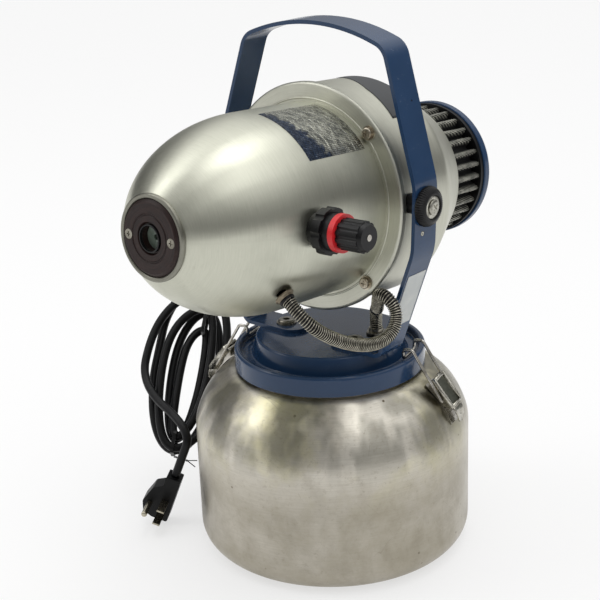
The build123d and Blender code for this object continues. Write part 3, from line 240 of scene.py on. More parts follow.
def tank_steel():
    """Spun stainless steel, brushed round the tank, with stains, smudges, scratches and pits, dark upright
    streaks painted on the dome as reflections, and painted shade in patches on the lower wall.
    """
    f = Finish("tank_steel", 0.34, 1.0, anisotropic=0.8, anisotropic_rotation=0.25)
    f.tangent_round("Z")
    brushed = f.round_grain(f.coord, 2, -1.0, 5.0, 900.0)
    fine = f.noise(brushed, 1.0, 4.0, 0.7)
    # Upright waves for the bump; the same noise paints the reflection streaks on the dome.
    waves_and_painted_streaks = f.noise(f.moved(scale=(1, 1, 0.05)), 44.0, 2.0, 0.5)
    smudge = f.noise(f.moved(scale=(1, 1, 0.8)), 42.0, 6.0, 0.7, 0.15)
    stain = f.noise(f.moved(at=(0.3, 0.1, 0.2)), 16.0, 6.0, 0.66, 0.2)
    speckle = f.noise(f.moved(at=(0.1, 0.7, 0)), 300.0, 4.0, 0.75)
    color = f.mix(f.ramp(fine, 0.3, 0.7), srgb(198, 193, 181), srgb(216, 211, 200))
    up = f.split(f.coord)[2]
    yellow = f.calc("MULTIPLY", f.ramp(stain, 0.44, 0.66, 0, 0.75), f.ramp(up, 0.06, 0.12, 0.25, 1.0))
    color = f.mix(yellow, color, srgb(208, 202, 160))
    color = f.mix(f.ramp(smudge, 0.5, 0.68, 0, 0.4), color, srgb(164, 156, 140))
    color = f.mix(f.ramp(speckle, 0.56, 0.74, 0, 0.5), color, srgb(148, 139, 122))
    # Painted reflection: dark upright streaks on the dome.
    dome_painted_streak_share = f.ramp(up, 0.09, 0.115, 0.0, 0.55)
    color = f.mix(f.calc("MULTIPLY", f.ramp(waves_and_painted_streaks, 0.56, 0.44, 0, 1), dome_painted_streak_share), color, srgb(120, 118, 108))
    pits = f.ramp(f.cells(f.coord, 62.0), 0.05, 0.085, 1, 0)
    pits = f.calc("MULTIPLY", pits, f.ramp(f.noise(f.coord, 30.0, 2.0), 0.53, 0.6))
    color = f.mix(pits, color, srgb(92, 82, 68))
    lines = 0.0
    for turn, at, shift in ((0.5, (0.7, 0, 0), 0.0), (-0.7, (0.1, 0.5, 0), 0.4), (1.5, (0.3, 0, 0.6), 0.8)):
        stretched = f.moved(at=(shift, 0, shift), turn=(turn, 0.9, turn * 0.8), scale=(1, 16, 1))
        line = f.calc("ABSOLUTE", f.calc("SUBTRACT", f.noise(stretched, 11.0, 0.0, 0.4), 0.5))
        reach = f.ramp(f.noise(f.moved(at=at), 46.0, 2.0), 0.56, 0.62)
        lines = f.calc("MAXIMUM", lines, f.calc("MULTIPLY", f.ramp(line, 0.0, 0.003, 1, 0), reach))
    color = f.mix(f.calc("MULTIPLY", lines, 0.5), color, srgb(104, 96, 84))
    # Painted shade: the lower wall darkens in patches toward the bottom.
    lower_wall_painted_shade = f.ramp(f.calc("ADD", up, f.ramp(smudge, 0.3, 0.7, -0.012, 0.012)), 0.068, 0.1, 1.0, 0.0)
    lower_wall_painted_shade = f.calc("MULTIPLY", lower_wall_painted_shade, f.ramp(stain, 0.36, 0.62, 0.42, 0.82))
    color = f.mix(lower_wall_painted_shade, color, srgb(153, 146, 131))
    rough = f.ramp(smudge, 0.35, 0.7, 0.30, 0.42)
    rough = f.calc("ADD", rough, f.ramp(fine, 0.3, 0.7, -0.03, 0.03))
    normal = f.bump(f.calc("SUBTRACT", fine, f.calc("MULTIPLY", pits, 4.0)), 0.00002, 0.6)
    normal = f.bump(f.noise(f.coord, 16.0, 3.0, 0.5), 0.003, 0.07, normal)
    normal = f.bump(waves_and_painted_streaks, 0.002, 0.16, normal)
    normal = f.bump(lines, 0.0001, 0.4, normal)
    return f.finish(color, rough, normal)


def spun_aluminium(name, low, high, rough_low, rough_high, turned=0.8):
    """Satin aluminium with fine turning marks round the head's axis and a few handling marks."""
    f = Finish(name, 0.3, 1.0, anisotropic=turned, anisotropic_rotation=0.25)
    f.tangent_round("Y")
    local = f.moved(**head_place)
    fine = f.noise(f.round_grain(local, 1, 1.0, 4.0, 1300.0), 1.0, 4.0, 0.75)
    rings = f.noise(f.round_grain(local, 1, 1.0, 1.6, 170.0), 1.0, 3.0, 0.6)
    smudge = f.noise(f.moved(at=(0.2, 0.4, 0)), 24.0, 5.0, 0.6, 0.5)
    scuffs = f.noise(f.moved(at=(0, 0.6, 0.1)), 120.0, 5.0, 0.75)
    color = f.mix(f.ramp(fine, 0.3, 0.7), low, high)
    color = f.mix(f.ramp(smudge, 0.5, 0.75, 0, 0.3), color, tuple(v * 0.78 for v in low))
    color = f.mix(f.ramp(scuffs, 0.62, 0.8, 0, 0.35), color, srgb(140, 136, 122))
    rough = f.ramp(smudge, 0.3, 0.7, rough_low, rough_high)
    rough = f.calc("ADD", rough, f.ramp(fine, 0.3, 0.7, -0.03, 0.03))
    normal = f.bump(fine, 0.00001, 0.3)
    normal = f.bump(rings, 0.0001, 0.12, normal)
    return f.finish(color, rough, normal)


def blue_paint():
    """Gloss blue enamel with slight orange peel, a little dust and a few small chips."""
    f = Finish("blue_paint", 0.2, 0.0, coat_weight=0.22, coat_roughness=0.06)
    f.shader.inputs["Specular IOR Level"].default_value = 0.3
    tone = f.noise(f.coord, 14.0, 4.0, 0.55)
    color = f.mix(f.ramp(tone, 0.3, 0.7), srgb(30, 56, 88), srgb(38, 65, 99))
    dust = f.noise(f.moved(scale=(1, 1, 2)), 80.0, 5.0, 0.7)
    color = f.mix(f.ramp(dust, 0.6, 0.82, 0, 0.12), color, srgb(120, 134, 160))
    chips = f.ramp(f.cells(f.coord, 90.0), 0.07, 0.1, 1, 0)
    chips = f.calc("MULTIPLY", chips, f.ramp(f.noise(f.coord, 23.0, 1.0), 0.62, 0.66))
    color = f.mix(chips, color, srgb(18, 22, 30))
    rough = f.ramp(dust, 0.4, 0.8, 0.16, 0.32)
    normal = f.bump(f.noise(f.coord, 420.0, 2.0, 0.5), 0.00012, 0.22)
    normal = f.bump(f.noise(f.coord, 40.0, 2.0, 0.5), 0.0008, 0.2, normal)
    return f.finish(color, rough, normal)


def plated(name, low, high, rough_low=0.2, rough_high=0.36, scale=1.0):
    """Bright plated or bare metal with light soiling."""
    f = Finish(name, 0.3, 1.0)
    soil = f.noise(f.coord, 90.0 * scale, 5.0, 0.65)
    fine = f.noise(f.coord, 900.0 * scale, 3.0, 0.6)
    color = f.mix(f.ramp(soil, 0.35, 0.72), high, low)
    rough = f.ramp(soil, 0.3, 0.75, rough_low, rough_high)
    normal = f.bump(f.calc("ADD", soil, f.calc("MULTIPLY", fine, 0.3)), 0.0001, 0.25)
    return f.finish(color, rough, normal)


def plastic(name, low, high, rough_low=0.35, rough_high=0.55, grain=900.0, specular=0.5):
    """Moulded plastic or rubber: fine grain, uneven sheen and a little dust."""
    f = Finish(name, 0.45, 0.0)
    f.shader.inputs["Specular IOR Level"].default_value = specular
    tone = f.noise(f.coord, 60.0, 4.0, 0.6)
    dust = f.noise(f.moved(at=(0.5, 0, 0)), 340.0, 4.0, 0.7)
    color = f.mix(f.ramp(tone, 0.35, 0.7), low, high)
    color = f.mix(f.ramp(dust, 0.66, 0.8, 0, 0.18), color, srgb(150, 146, 138))
    rough = f.ramp(tone, 0.3, 0.7, rough_low, rough_high)
    normal = f.bump(f.noise(f.coord, grain, 3.0, 0.6), 0.00008, 0.35)
    return f.finish(color, rough, normal)


def turned_disc():
    """Dark brown phenolic disc, turned, with dust in its rings."""
    f = Finish("phenolic", 0.4, 0.0)
    f.shader.inputs["Specular IOR Level"].default_value = 0.3
    local = f.moved(**head_place)
    rings = f.noise(f.round_grain(local, 1, 1.0, 1.2, 1100.0), 1.0, 3.0, 0.6)
    dust = f.noise(f.coord, 190.0, 5.0, 0.65)
    color = f.mix(f.ramp(rings, 0.3, 0.7), srgb(24, 14, 13), srgb(50, 31, 27))
    color = f.mix(f.ramp(dust, 0.55, 0.8, 0, 0.28), color, srgb(92, 78, 70))
    normal = f.bump(rings, 0.00012, 0.6)
    return f.finish(color, f.ramp(dust, 0.3, 0.75, 0.36, 0.6), normal)


def foil():
    """Embossed foil: silver, with a navy band along its front that widens downward."""
    f = Finish("foil", 0.2, 1.0)
    local = f.moved(**head_place)
    x, y, z = f.split(local)
    around = f.calc("ARCTAN2", z, x)
    grid_a = f.calc("FRACT", f.calc("MULTIPLY", y, 620.0))
    grid_b = f.calc("FRACT", f.calc("MULTIPLY", around, 48.0))
    grid = f.calc("MINIMUM", f.ramp(grid_a, 0.1, 0.35, 0, 1), f.ramp(grid_b, 0.1, 0.35, 0, 1))
    crease = f.noise(f.moved(turn=(0, 0.5, 0.2), scale=(1, 2.4, 1)), 75.0, 4.0, 0.6, 1.8)
    wear = f.noise(local, 330.0, 5.0, 0.7)
    silver = f.mix(f.ramp(crease, 0.38, 0.6), srgb(122, 124, 118), srgb(214, 214, 200))
    edge = f.ramp(around, 1.5, 0.66, -0.0815, -0.062)
    edge = f.calc("ADD", edge, f.ramp(f.noise(local, 70.0, 4.0, 0.7, 1.0), 0.3, 0.7, -0.007, 0.007))
    navy = f.ramp(f.calc("SUBTRACT", y, edge), -0.0016, 0.0016, 1, 0)
    patch = f.calc("MULTIPLY", f.ramp(around, 0.78, 0.72, 0, 0.6), f.ramp(crease, 0.42, 0.5, 0, 1))
    patch = f.calc("MULTIPLY", patch, f.ramp(y, -0.04, -0.046, 0, 1))
    navy = f.calc("MAXIMUM", navy, patch)
    color = f.mix(navy, silver, f.mix(f.ramp(wear, 0.5, 0.7), srgb(48, 60, 80), srgb(112, 122, 138)))
    color = f.mix(f.calc("MULTIPLY", f.calc("SUBTRACT", 1.0, grid), 0.85), color, srgb(22, 26, 32))
    color = f.mix(f.ramp(wear, 0.6, 0.75, 0, 0.5), color, srgb(72, 74, 76))
    normal = f.bump(crease, 0.0016, 0.7)
    normal = f.bump(grid, 0.00015, 0.5, normal)
    return f.finish(color, f.ramp(wear, 0.35, 0.7, 0.16, 0.4), normal)


def filter_medium():
    """Black oiled filter medium under a fine wire net; the net is painted bright on the pleat ridges as a
    highlight and fades into painted shade toward the grooves.
    """
    f = Finish("filter_medium", 0.5, 0.0)
    local = f.moved(**head_place)
    x, y, z = f.split(local)
    net_a = f.calc("ABSOLUTE", f.calc("SUBTRACT", f.calc("FRACT", f.calc("MULTIPLY", y, 700.0)), 0.5))
    slant = f.calc("ADD", f.calc("MULTIPLY", f.calc("ARCTAN2", z, x), 52.0), f.calc("MULTIPLY", y, 260.0))
    net_b = f.calc("ABSOLUTE", f.calc("SUBTRACT", f.calc("FRACT", slant), 0.5))
    net = f.calc("MAXIMUM", f.ramp(net_a, 0.4, 0.46, 0, 0.5), f.ramp(net_b, 0.22, 0.34))
    r = f.calc("SQRT", f.calc("ADD", f.calc("MULTIPLY", x, x), f.calc("MULTIPLY", z, z)))
    # Painted light: the net shows bright at the ridge tops and fades to painted shade down into the grooves.
    ridge_painted_light = f.ramp(r, 0.0470, 0.0508)
    grime = f.noise(f.coord, 150.0, 4.0, 0.6)
    wire = f.mix(f.ramp(grime, 0.35, 0.65), srgb(176, 176, 164), srgb(226, 225, 210))
    net_and_painted_highlight = f.calc("MULTIPLY", net, f.calc("MULTIPLY", ridge_painted_light, f.ramp(grime, 0.3, 0.55, 0.6, 1.0)))
    color = f.mix(net_and_painted_highlight, srgb(15, 16, 17), wire)
    f.put(f.shader.inputs["Metallic"], f.calc("MULTIPLY", net_and_painted_highlight, 0.8))
    return f.finish(color, f.ramp(net_and_painted_highlight, 0, 1, 0.7, 0.3), f.bump(net, 0.0003, 0.8))


# ---- Mesh helpers


def new_piece(name, mesh, material, smooth=True):
    piece = bpy.data.objects.new(name, mesh)
    bpy.context.scene.collection.objects.link(piece)
    mesh.materials.append(material)
    for face in mesh.polygons:
        face.use_smooth = smooth
    return piece


def fitted(piece, body, slot, *replaced):
    """Attaches a piece to the body it rides on and hides the nodes it stands for; slot, what it is made of, is
    not used.
    """
    if replaced:
        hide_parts(*replaced)
    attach(piece, body)


def mesh_of(name, points, faces):
    mesh = bpy.data.meshes.new(name)
    mesh.from_pydata([tuple(p) for p in points], [], faces)
    mesh.update()
    return mesh


def nurbs_line(points, resolution=12):
    """Points along the NURBS spline that has these control points."""
    curve = bpy.data.curves.new("route", "CURVE")
    curve.dimensions = "3D"
    spline = curve.splines.new("NURBS")
    spline.points.add(len(points) - 1)
    for k, point in enumerate(points):
        spline.points[k].co = (*point, 1)
    spline.order_u = 3
    spline.use_endpoint_u = True
    spline.resolution_u = resolution
    holder = bpy.data.objects.new("route", curve)
    mesh = bpy.data.meshes.new_from_object(holder)
    line = [vertex.co.copy() for vertex in mesh.vertices]
    bpy.data.meshes.remove(mesh)
    bpy.data.objects.remove(holder)
    bpy.data.curves.remove(curve)
    return line


def line_length(line):
    return sum((b - a).length for a, b in zip(line, line[1:]))


def resampled(line, step):
    """The same line with points an even step apart."""
    total = line_length(line)
    count = max(2, round(total / step))
    out, k, passed = [line[0].copy()], 0, 0.0
    for i in range(1, count):
        goal = total * i / count
        while passed + (line[k + 1] - line[k]).length < goal:
            passed += (line[k + 1] - line[k]).length
            k += 1
        share = (goal - passed) / (line[k + 1] - line[k]).length
        out.append(line[k].lerp(line[k + 1], share))
    return out + [line[-1].copy()]


def frames_along(line, first_side=Vector((0, 0, 1)), reach=1):
    """Direction and two side directions at each point, without twist; reach evens them out."""
    found, side = [], first_side
    for k in range(len(line)):
        along = (line[min(k + reach, len(line) - 1)] - line[max(k - reach, 0)]).normalized()
        side = (side - along * side.dot(along)).normalized()
        found.append((along, side, along.cross(side)))
    return found


def tube_mesh(name, line, radii, sides=14, first_side=Vector((0, 0, 1))):
    """Closed tube along a line, with one radius or a radius for each point."""
    if not isinstance(radii, list):
        radii = [radii] * len(line)
    points, faces = [], []
    for centre, (along, side, other), radius in zip(line, frames_along(line, first_side), radii):
        for j in range(sides):
            turn = 2 * pi * j / sides
            points.append(centre + (side * cos(turn) + other * sin(turn)) * radius)
    for k in range(len(line) - 1):
        for j in range(sides):
            a, b = k * sides + j, k * sides + (j + 1) % sides
            faces.append((a, b, b + sides, a + sides))
    faces.append(tuple(reversed(range(sides))))
    faces.append(tuple(range((len(line) - 1) * sides, len(line) * sides)))
    return mesh_of(name, points, faces)


def coil_line(line, mean_r, turns, per_turn=20):
    """Helix round a line."""
    fine = resampled(line, line_length(line) / (turns * per_turn))
    frames = frames_along(fine, reach=per_turn)
    found = []
    for k, (centre, (along, side, other)) in enumerate(zip(fine, frames)):
        turn = 2 * pi * k / per_turn
        found.append(centre + (side * cos(turn) + other * sin(turn)) * mean_r)
    return found


def turned(name, origin, axis, profile, sides=64, wave=None):
    """Closed ring turned round an axis, from (radius, height) points; wave varies the radius."""
    axis = Vector(axis).normalized()
    side = axis.orthogonal().normalized()
    other = axis.cross(side)
    points, faces, count = [], [], len(profile)
    for j in range(sides):
        turn = 2 * pi * j / sides
        out = side * cos(turn) + other * sin(turn)
        for r, h in profile:
            grown = r + (wave(turn, r, h) if wave else 0.0)
            points.append(origin + (out * grown + axis * h) * MM)
    for j in range(sides):
        for k in range(count):
            a, b = j * count + k, j * count + (k + 1) % count
            c, d = ((j + 1) % sides) * count + (k + 1) % count, ((j + 1) % sides) * count + k
            faces.append((a, b, c, d))
    return mesh_of(name, points, faces)


def softened(mesh, width, segments=2):
    """The same mesh with its sharp edges rounded, and normals that point out."""
    made = bmesh.new()
    made.from_mesh(mesh)
    bmesh.ops.recalc_face_normals(made, faces=made.faces)
    sharp = [e for e in made.edges if len(e.link_faces) == 2 and e.calc_face_angle(0) > radians(24)]
    bmesh.ops.bevel(made, geom=sharp, offset=width * MM, segments=segments, affect="EDGES",
                    clamp_overlap=True)
    made.to_mesh(mesh)
    made.free()
    mesh.update()
    return mesh


def prism(outline, low, high, place):
    """Points and faces of a slab between two widths; place turns (a, b, w) into a point."""
    count = len(outline)
    points = [place(a, b, w) for w in (low, high) for a, b in outline]
    faces = [tuple(range(count)), tuple(reversed(range(count, 2 * count)))]
    faces += [(k, k + count, (k + 1) % count + count, (k + 1) % count) for k in range(count)]
    return points, faces


def strip(stations, thickness, place, lift=0.0):
    """Points and faces of a bent, tapering plate; each station has along, across, half width."""
    points, faces = [], []
    shares = (-1, -0.86, -0.5, 0, 0.5, 0.86, 1)
    rims = (lift, lift, 0, 0, 0, lift, lift)
    for under in (0, 1):
        for a, b, half in stations:
            for share, rim in zip(shares, rims):
                points.append(place(a, b - under * thickness + (0 if under else rim), half * share))
    wide, long = len(shares), len(stations)

    def at(under, k, j):
        return under * wide * long + k * wide + j

    for under in (0, 1):
        for k in range(long - 1):
            for j in range(wide - 1):
                face = at(under, k, j), at(under, k + 1, j), at(under, k + 1, j + 1), at(under, k, j + 1)
                faces.append(face if not under else tuple(reversed(face)))
    for k in range(long - 1):
        for j in (0, wide - 1):
            faces.append((at(0, k, j), at(1, k, j), at(1, k + 1, j), at(0, k + 1, j)))
    for k in (0, long - 1):
        for j in range(wide - 1):
            faces.append((at(0, k, j), at(0, k, j + 1), at(1, k, j + 1), at(1, k, j)))
    return points, faces


def merged(name, shells):
    """One mesh from several (points, faces) shells."""
    points, faces = [], []
    for some, around in shells:
        faces += [tuple(k + len(points) for k in face) for face in around]
        points += some
    return mesh_of(name, points, faces)


def shell_of(mesh):
    """Points and faces of a mesh."""
    return [v.co.copy() for v in mesh.vertices], [tuple(f.vertices) for f in mesh.polygons]


make_camera()
bpy.context.scene.view_settings.view_transform = "Standard"

# ---- Cords: the routes repeat the CAD source's points

cord_d = 7.2 * MM
gland_s, gland_angle, gland_height = 50.0, 210.0, 9.0
housing_r, housing_end_r, cone_start_s, housing_end_s = 85.0, 60.0, 43.5, 92.0
cone_share = (gland_s - cone_start_s) / (housing_end_s - cone_start_s)
gland_end = on_head(gland_s, gland_angle, housing_r - cone_share * (housing_r - housing_end_r) + gland_height)
gland_dir = radial(gland_angle)

hank_top = mm(-161.2, 18.0, 146.3)
hank_low = mm(-120.3, -72.2, 36.3)
hank_v = (hank_low - hank_top).normalized()
hank_u = Vector((-0.747, -0.665, 0))
hank_u = (hank_u - hank_v * hank_u.dot(hank_v)).normalized()
hank_n = hank_u.cross(hank_v)
hank_layer = 4.9     # how far the front and back layers lie from the middle one
last_quarter = 17    # quarter turns from the hank's start to where the tail leaves it


def hank(u, v, n):
    """Point of the hank: u to the left as seen, v down, n toward the viewer, in millimetres."""
    return hank_top + (hank_u * u + hank_v * v + hank_n * n) * MM


def hank_anchor(q):
    """Place and direction of the hank at a quarter turn: 0 top, 1 left, 2 bottom, 3 right."""
    if q <= 8:
        rank, n = 4 - q / 2, -hank_layer
    elif q < 10:
        rank, n = 0.5, 0.0
    else:
        rank, n = 1 + (q - 10) / 2, hank_layer
    top, left = (-3.4, 11.7 - 8.3 * rank), (6 + 7.75 * rank, 42.8)
    bottom, right = (2.3, 107.7 + 5 * rank), (-5 - 6.8 * rank, 56.8)
    ways = [(1, 0), (0, 1), (-1, 0), (0, -1)]
    return (top, left, bottom, right)[q % 4], n, ways[q % 4]


def hank_turn(q, steps=(15, 45, 75)):
    """Control points of the quarter turn after an anchor, on the polygon round its ellipse."""
    (u0, v0), n0, way = hank_anchor(q)
    (u1, v1), n1, next_way = hank_anchor(q + 1)
    reach = abs((u1 - u0) * way[0] + (v1 - v0) * way[1])
    depth = abs((u1 - u0) * next_way[0] + (v1 - v0) * next_way[1])
    found = []
    for step in steps:
        a = radians(step)
        over = 1 / cos(radians(15))
        ahead, aside = reach * sin(a) * over, depth * (1 - cos(a) * over)
        u = u0 + way[0] * ahead + next_way[0] * aside
        v = v0 + way[1] * ahead + next_way[1] * aside
        found.append(hank(u, v, n0 + (n1 - n0) * step / 90))
    return found


# The plug's width, facing and length directions, and its middle
plug_w = Vector((0.775, 0.5135, -0.367)).normalized()
plug_f = Vector((0.545, -0.838, -0.0175)).normalized()
plug_l = plug_w.cross(plug_f)
plug_o = mm(-115.2, -87.5, 16.5)
plug_t = 15.0
plug_top = 28.6
tail_end = plug_o + (plug_w * 0.6 - plug_l * plug_top - plug_f * (plug_t / 2)) * MM


def cord_route():
    """Control points of the mains cord, from the gland through the hank to the plug."""
    (u, v), n, _ = hank_anchor(1)
    hank_start = hank(u, v, n) - hank_v * cord_d
    route = [gland_end, gland_end + gland_dir * 18 * MM]
    route += [mm(-116, 44, 216), mm(-142, 38, 199), mm(-184, 34, 174)]
    route += [hank_start - hank_v * 36 * MM, hank_start]
    for q in range(1, last_quarter):
        route += hank_turn(q)
    (u, v), n, _ = hank_anchor(last_quarter)
    route.append(hank(u, v, n) + hank_v * 30 * MM)
    route += [tail_end - plug_l * 46 * MM, tail_end - plug_l * 16 * MM, tail_end]
    return route


black_cord = plastic("black_rubber", srgb(7, 7, 9), srgb(15, 16, 18), 0.36, 0.52, 700.0, 0.25)
cord_line = resampled(nurbs_line(cord_route(), 10), 2.2 * MM)
mains_cord = new_piece("mains_cord", tube_mesh("mains_cord", cord_line, cord_d / 2, 16), black_cord)
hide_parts("cord_lead", "cord_hank")
relief_steps = 12    # points of the cord's line that the strain relief covers
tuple(cord_line[relief_steps])
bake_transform(mains_cord)

# Strain relief: a ribbed taper on the lead's first stretch
relief_line = resampled(cord_line[:relief_steps + 1], 0.5 * MM)
relief_start_r, relief_end_r, relief_rib = 5.9, 4.0, 0.45


def relief_radius(k, count):
    """Radius at a point of the relief: thicker at the gland, with a rib every sixth step."""
    share = k / (count - 1)
    rib = relief_rib if (k // 3) % 2 == 0 and 0.08 < share < 0.94 else 0.0
    return (relief_start_r + (relief_end_r - relief_start_r) * share + rib) * MM


relief_radii = [relief_radius(k, len(relief_line)) for k in range(len(relief_line))]
relief_mesh = tube_mesh("strain_relief", relief_line, relief_radii, 24)
strain_relief = new_piece("strain_relief", relief_mesh, black_cord)
fitted(strain_relief, "head", "black_rubber")

# Hose in its wire sheath, from the ferrule on the bell to the fitting on the lid
fitting = mm(38, 12, 182)
ferrule_s, ferrule_angle = -112.0, -38.0
ferrule_base_r, ferrule_end_r = 72.9, 80.0
ferrule_dir = radial(ferrule_angle)
hose_start = on_head(ferrule_s, ferrule_angle, ferrule_end_r)
hose_route = [hose_start, hose_start + ferrule_dir * 16 * MM]
hose_points = [(82, -100, 220), (86, -80, 208.5), (88, -61, 201.5), (90, -44, 200.5)]
hose_points += [(91, -32, 208), (89, -28.5, 219.5), (82.5, -29.5, 227.5), (72.5, -27.5, 228.5)]
hose_points += [(65, -19.5, 217.5), (57, -10, 208), (47, 2, 203), (38, 12, 196)]
hose_route += [mm(*point) for point in hose_points] + [fitting]
hose_line = resampled(nurbs_line(hose_route), 1.0 * MM)
hose_turns = 122
sheath_wire_r = 0.43 * MM
sheath_r = 4.95 * MM
sheath_metal = plated("sheath_metal", srgb(112, 108, 96), srgb(194, 190, 176), 0.18, 0.32, 2.0)
sheath_route = [hose_start - ferrule_dir * 2.6 * MM] + resampled(nurbs_line(hose_route, 40), 0.3 * MM)
sheath_line = coil_line(sheath_route, sheath_r - sheath_wire_r, hose_turns, 22)
sheath_tube = tube_mesh("hose_sheath", sheath_line, sheath_wire_r, 6, hose_line[1] - hose_line[0])
hose_sheath = new_piece("hose_sheath", sheath_tube, sheath_metal)
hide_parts("hose_spring")
inner_hose_r = 4.05 * MM
inner_hose = new_piece("inner_hose", tube_mesh("inner_hose", sheath_route, inner_hose_r, 18), black_cord)
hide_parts("hose_tube")
for piece in (hose_sheath, inner_hose):
    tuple(hose_line[10])
    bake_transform(piece)

# Twisted ends of the lower tie, parting at their tips
tie_wire_r = 0.42 * MM
tie_foot = mm(-130.0, -57.0, 47.6)
tie_way = (hank_v * 0.12 - hank_u).normalized()
tie_side = tie_way.orthogonal().normalized()
tie_other = tie_way.cross(tie_side)
tie_steps, twisted_steps = 60, 40
tie_shells = []
for half_turn in (0, pi):
    wire = []
    for k in range(tie_steps + 1):
        apart = (0.55 + max(k - twisted_steps, 0) * 0.12) * MM
        turn = half_turn + 0.55 * min(k, twisted_steps)
        sag = Vector((0, 0, -0.9 * MM)) * (k / tie_steps) ** 2
        centre = tie_foot + tie_way * (k * 0.33 * MM) + sag
        wire.append(centre + (tie_side * cos(turn) + tie_other * sin(turn)) * apart)
    tie_shells.append(shell_of(tube_mesh("tie_wire", wire, tie_wire_r, 8)))
tie_ends = new_piece("tie_ends", merged("tie_ends", tie_shells), black_cord)
fitted(tie_ends, "base", "black_rubber")

# ---- Pieces shown in finer detail than the CAD source

ferrule_metal = plated("ferrule_metal", srgb(78, 70, 58), srgb(140, 130, 112), 0.26, 0.4, 2.0)
ferrule_foot = on_head(ferrule_s, ferrule_angle, ferrule_base_r)
flare = [(3.0, -0.4), (7.3, -0.4), (7.6, 0.1), (7.5, 0.7), (6.7, 1.2)]
flare += [(6.2, 2.0), (6.1, 2.6), (5.2, 2.7), (3.0, 2.7)]
hose_flare = new_piece("hose_flare", turned("hose_flare", ferrule_foot, ferrule_dir, flare, 64), ferrule_metal)
fitted(hose_flare, "head", "plated_steel", "hose_ferrule")
collar = [(2.6, 2.2), (5.4, 2.2), (5.9, 2.9), (5.8, 3.9), (5.3, 4.5), (4.6, 4.9), (2.6, 4.9)]
hose_collar = new_piece("hose_collar", turned("hose_collar", ferrule_foot, ferrule_dir, collar, 48), black_cord)
fitted(hose_collar, "head", "black_rubber")


def knurl(turn, r, h):
    """Fine ribs round the widest part of the knob."""
    return 0.0 if r < 12.0 or h < 0.4 else 0.36 * cos(turn * 50)


strap_face_x, pivot_y, pivot_z = 98.32, -4.0, 293.0


def knob_foot(side):
    """Centre of a pivot knob's inner face, on the right with 1 and on the left with -1."""
    return mm(side * strap_face_x, pivot_y, pivot_z)


knob_black = plastic("knob_black", srgb(9, 9, 10), srgb(21, 21, 23), 0.3, 0.48, 600.0, 0.3)
dome = [(3.3, 0), (14.0, 0), (14.5, 0.5), (14.6, 1.6), (14.4, 2.9), (13.8, 4.2), (12.8, 5.4), (11.5, 6.3)]
dome += [(10.3, 6.8), (9.3, 6.9), (8.8, 6.7), (8.6, 6.2), (8.6, 5.2), (3.3, 5.2)]
knob_shells = [shell_of(turned("dome", knob_foot(side), (side, 0, 0), dome, 416, knurl)) for side in (1, -1)]
round_knobs = new_piece("round_knobs", merged("round_knobs", knob_shells), knob_black)
fitted(round_knobs, "head", "dark_plastic", "pivot_knobs")


def screw_top(foot, axis, radius, height, reach, half):
    """Domed head with a cross recess, on a polar grid.

    Foot is the centre of its underside; the recess has arms of a reach and a half width.
    """
    side = axis.orthogonal().normalized()
    other = axis.cross(side)
    rows, sides = 22, 96
    points, faces = [foot + axis * (height * 0.55) * MM], []
    for row in range(1, rows + 1):
        r = radius * row / rows
        for j in range(sides):
            turn = 2 * pi * j / sides
            x, y = abs(r * cos(turn)), abs(r * sin(turn))
            level = height - 0.45 * height * (r / radius) ** 4
            depth = min(max((reach - max(x, y)) / 0.5, 0), 1) * min(max((half - min(x, y)) / 0.25, 0), 1)
            flat = side * cos(turn) * r + other * sin(turn) * r
            points.append(foot + (flat + axis * (level - depth * 0.5 * height)) * MM)
    for j in range(sides):
        out = side * cos(2 * pi * j / sides) + other * sin(2 * pi * j / sides)
        points.append(foot + out * radius * MM)
    faces += [(0, 1 + j, 1 + (j + 1) % sides) for j in range(sides)]
    for row in range(rows):
        for j in range(sides):
            a, b = 1 + row * sides + j, 1 + row * sides + (j + 1) % sides
            faces.append((a, a + sides, b + sides, b))
    faces.append(tuple(reversed(range(1 + rows * sides, 1 + (rows + 1) * sides))))
    return points, faces


screw_bright = plated("screw_bright", srgb(120, 118, 108), srgb(210, 208, 198), 0.2, 0.34, 2.0)
screw_shells = []
washer = [(2.9, 5.3), (8.3, 5.3), (8.4, 5.5), (8.4, 6.0), (8.2, 6.2), (2.9, 6.2)]
shank = [(0.4, -18), (3.0, -18), (3.0, 5.8), (0.4, 5.8)]
for side in (1, -1):
    foot, axis = knob_foot(side), Vector((side, 0, 0))
    screw_shells.append(shell_of(turned("washer", foot, axis, washer, 64)))
    screw_shells.append(shell_of(turned("shank", foot, axis, shank, 32)))
    screw_shells.append(screw_top(foot + axis * 6.1 * MM, axis, 5.6, 2.2, 3.2, 0.75))
cross_screws = new_piece("cross_screws", merged("cross_screws", screw_shells), screw_bright)
fitted(cross_screws, "head", "plated_steel", "pivot_screws")

rivet_place = mm(98.3, -8.5, 273.5)
rivet = [(0.3, -2.0), (1.9, -2.0), (1.9, -0.3), (1.6, 0.12), (0.9, 0.0), (0.3, -0.1)]
strap_rivet = new_piece("strap_rivet", turned("strap_rivet", rivet_place, (1, 0, 0), rivet, 32), screw_bright)
fitted(strap_rivet, "base", "plated_steel")

film_thick = 0.16
leg_film_x, leg_film_z = 92.29, 242.0
leg_lean = Vector((0.32, 0.947))    # how far the leg runs inward and down for each millimetre
strap_twist = 0.0603                # how far its middle shifts in y for each millimetre of height


def on_leg(along, dome_painted_streak_share, wide):
    """Point on the right leg's outer face: down it, out from it and across it, in millimetres."""
    z = leg_film_z - leg_lean.y * along
    centre = pivot_y + (z - pivot_z) * strap_twist
    return mm(leg_film_x - leg_lean.x * along + leg_lean.y * dome_painted_streak_share, centre + wide, z - leg_lean.x * dome_painted_streak_share)


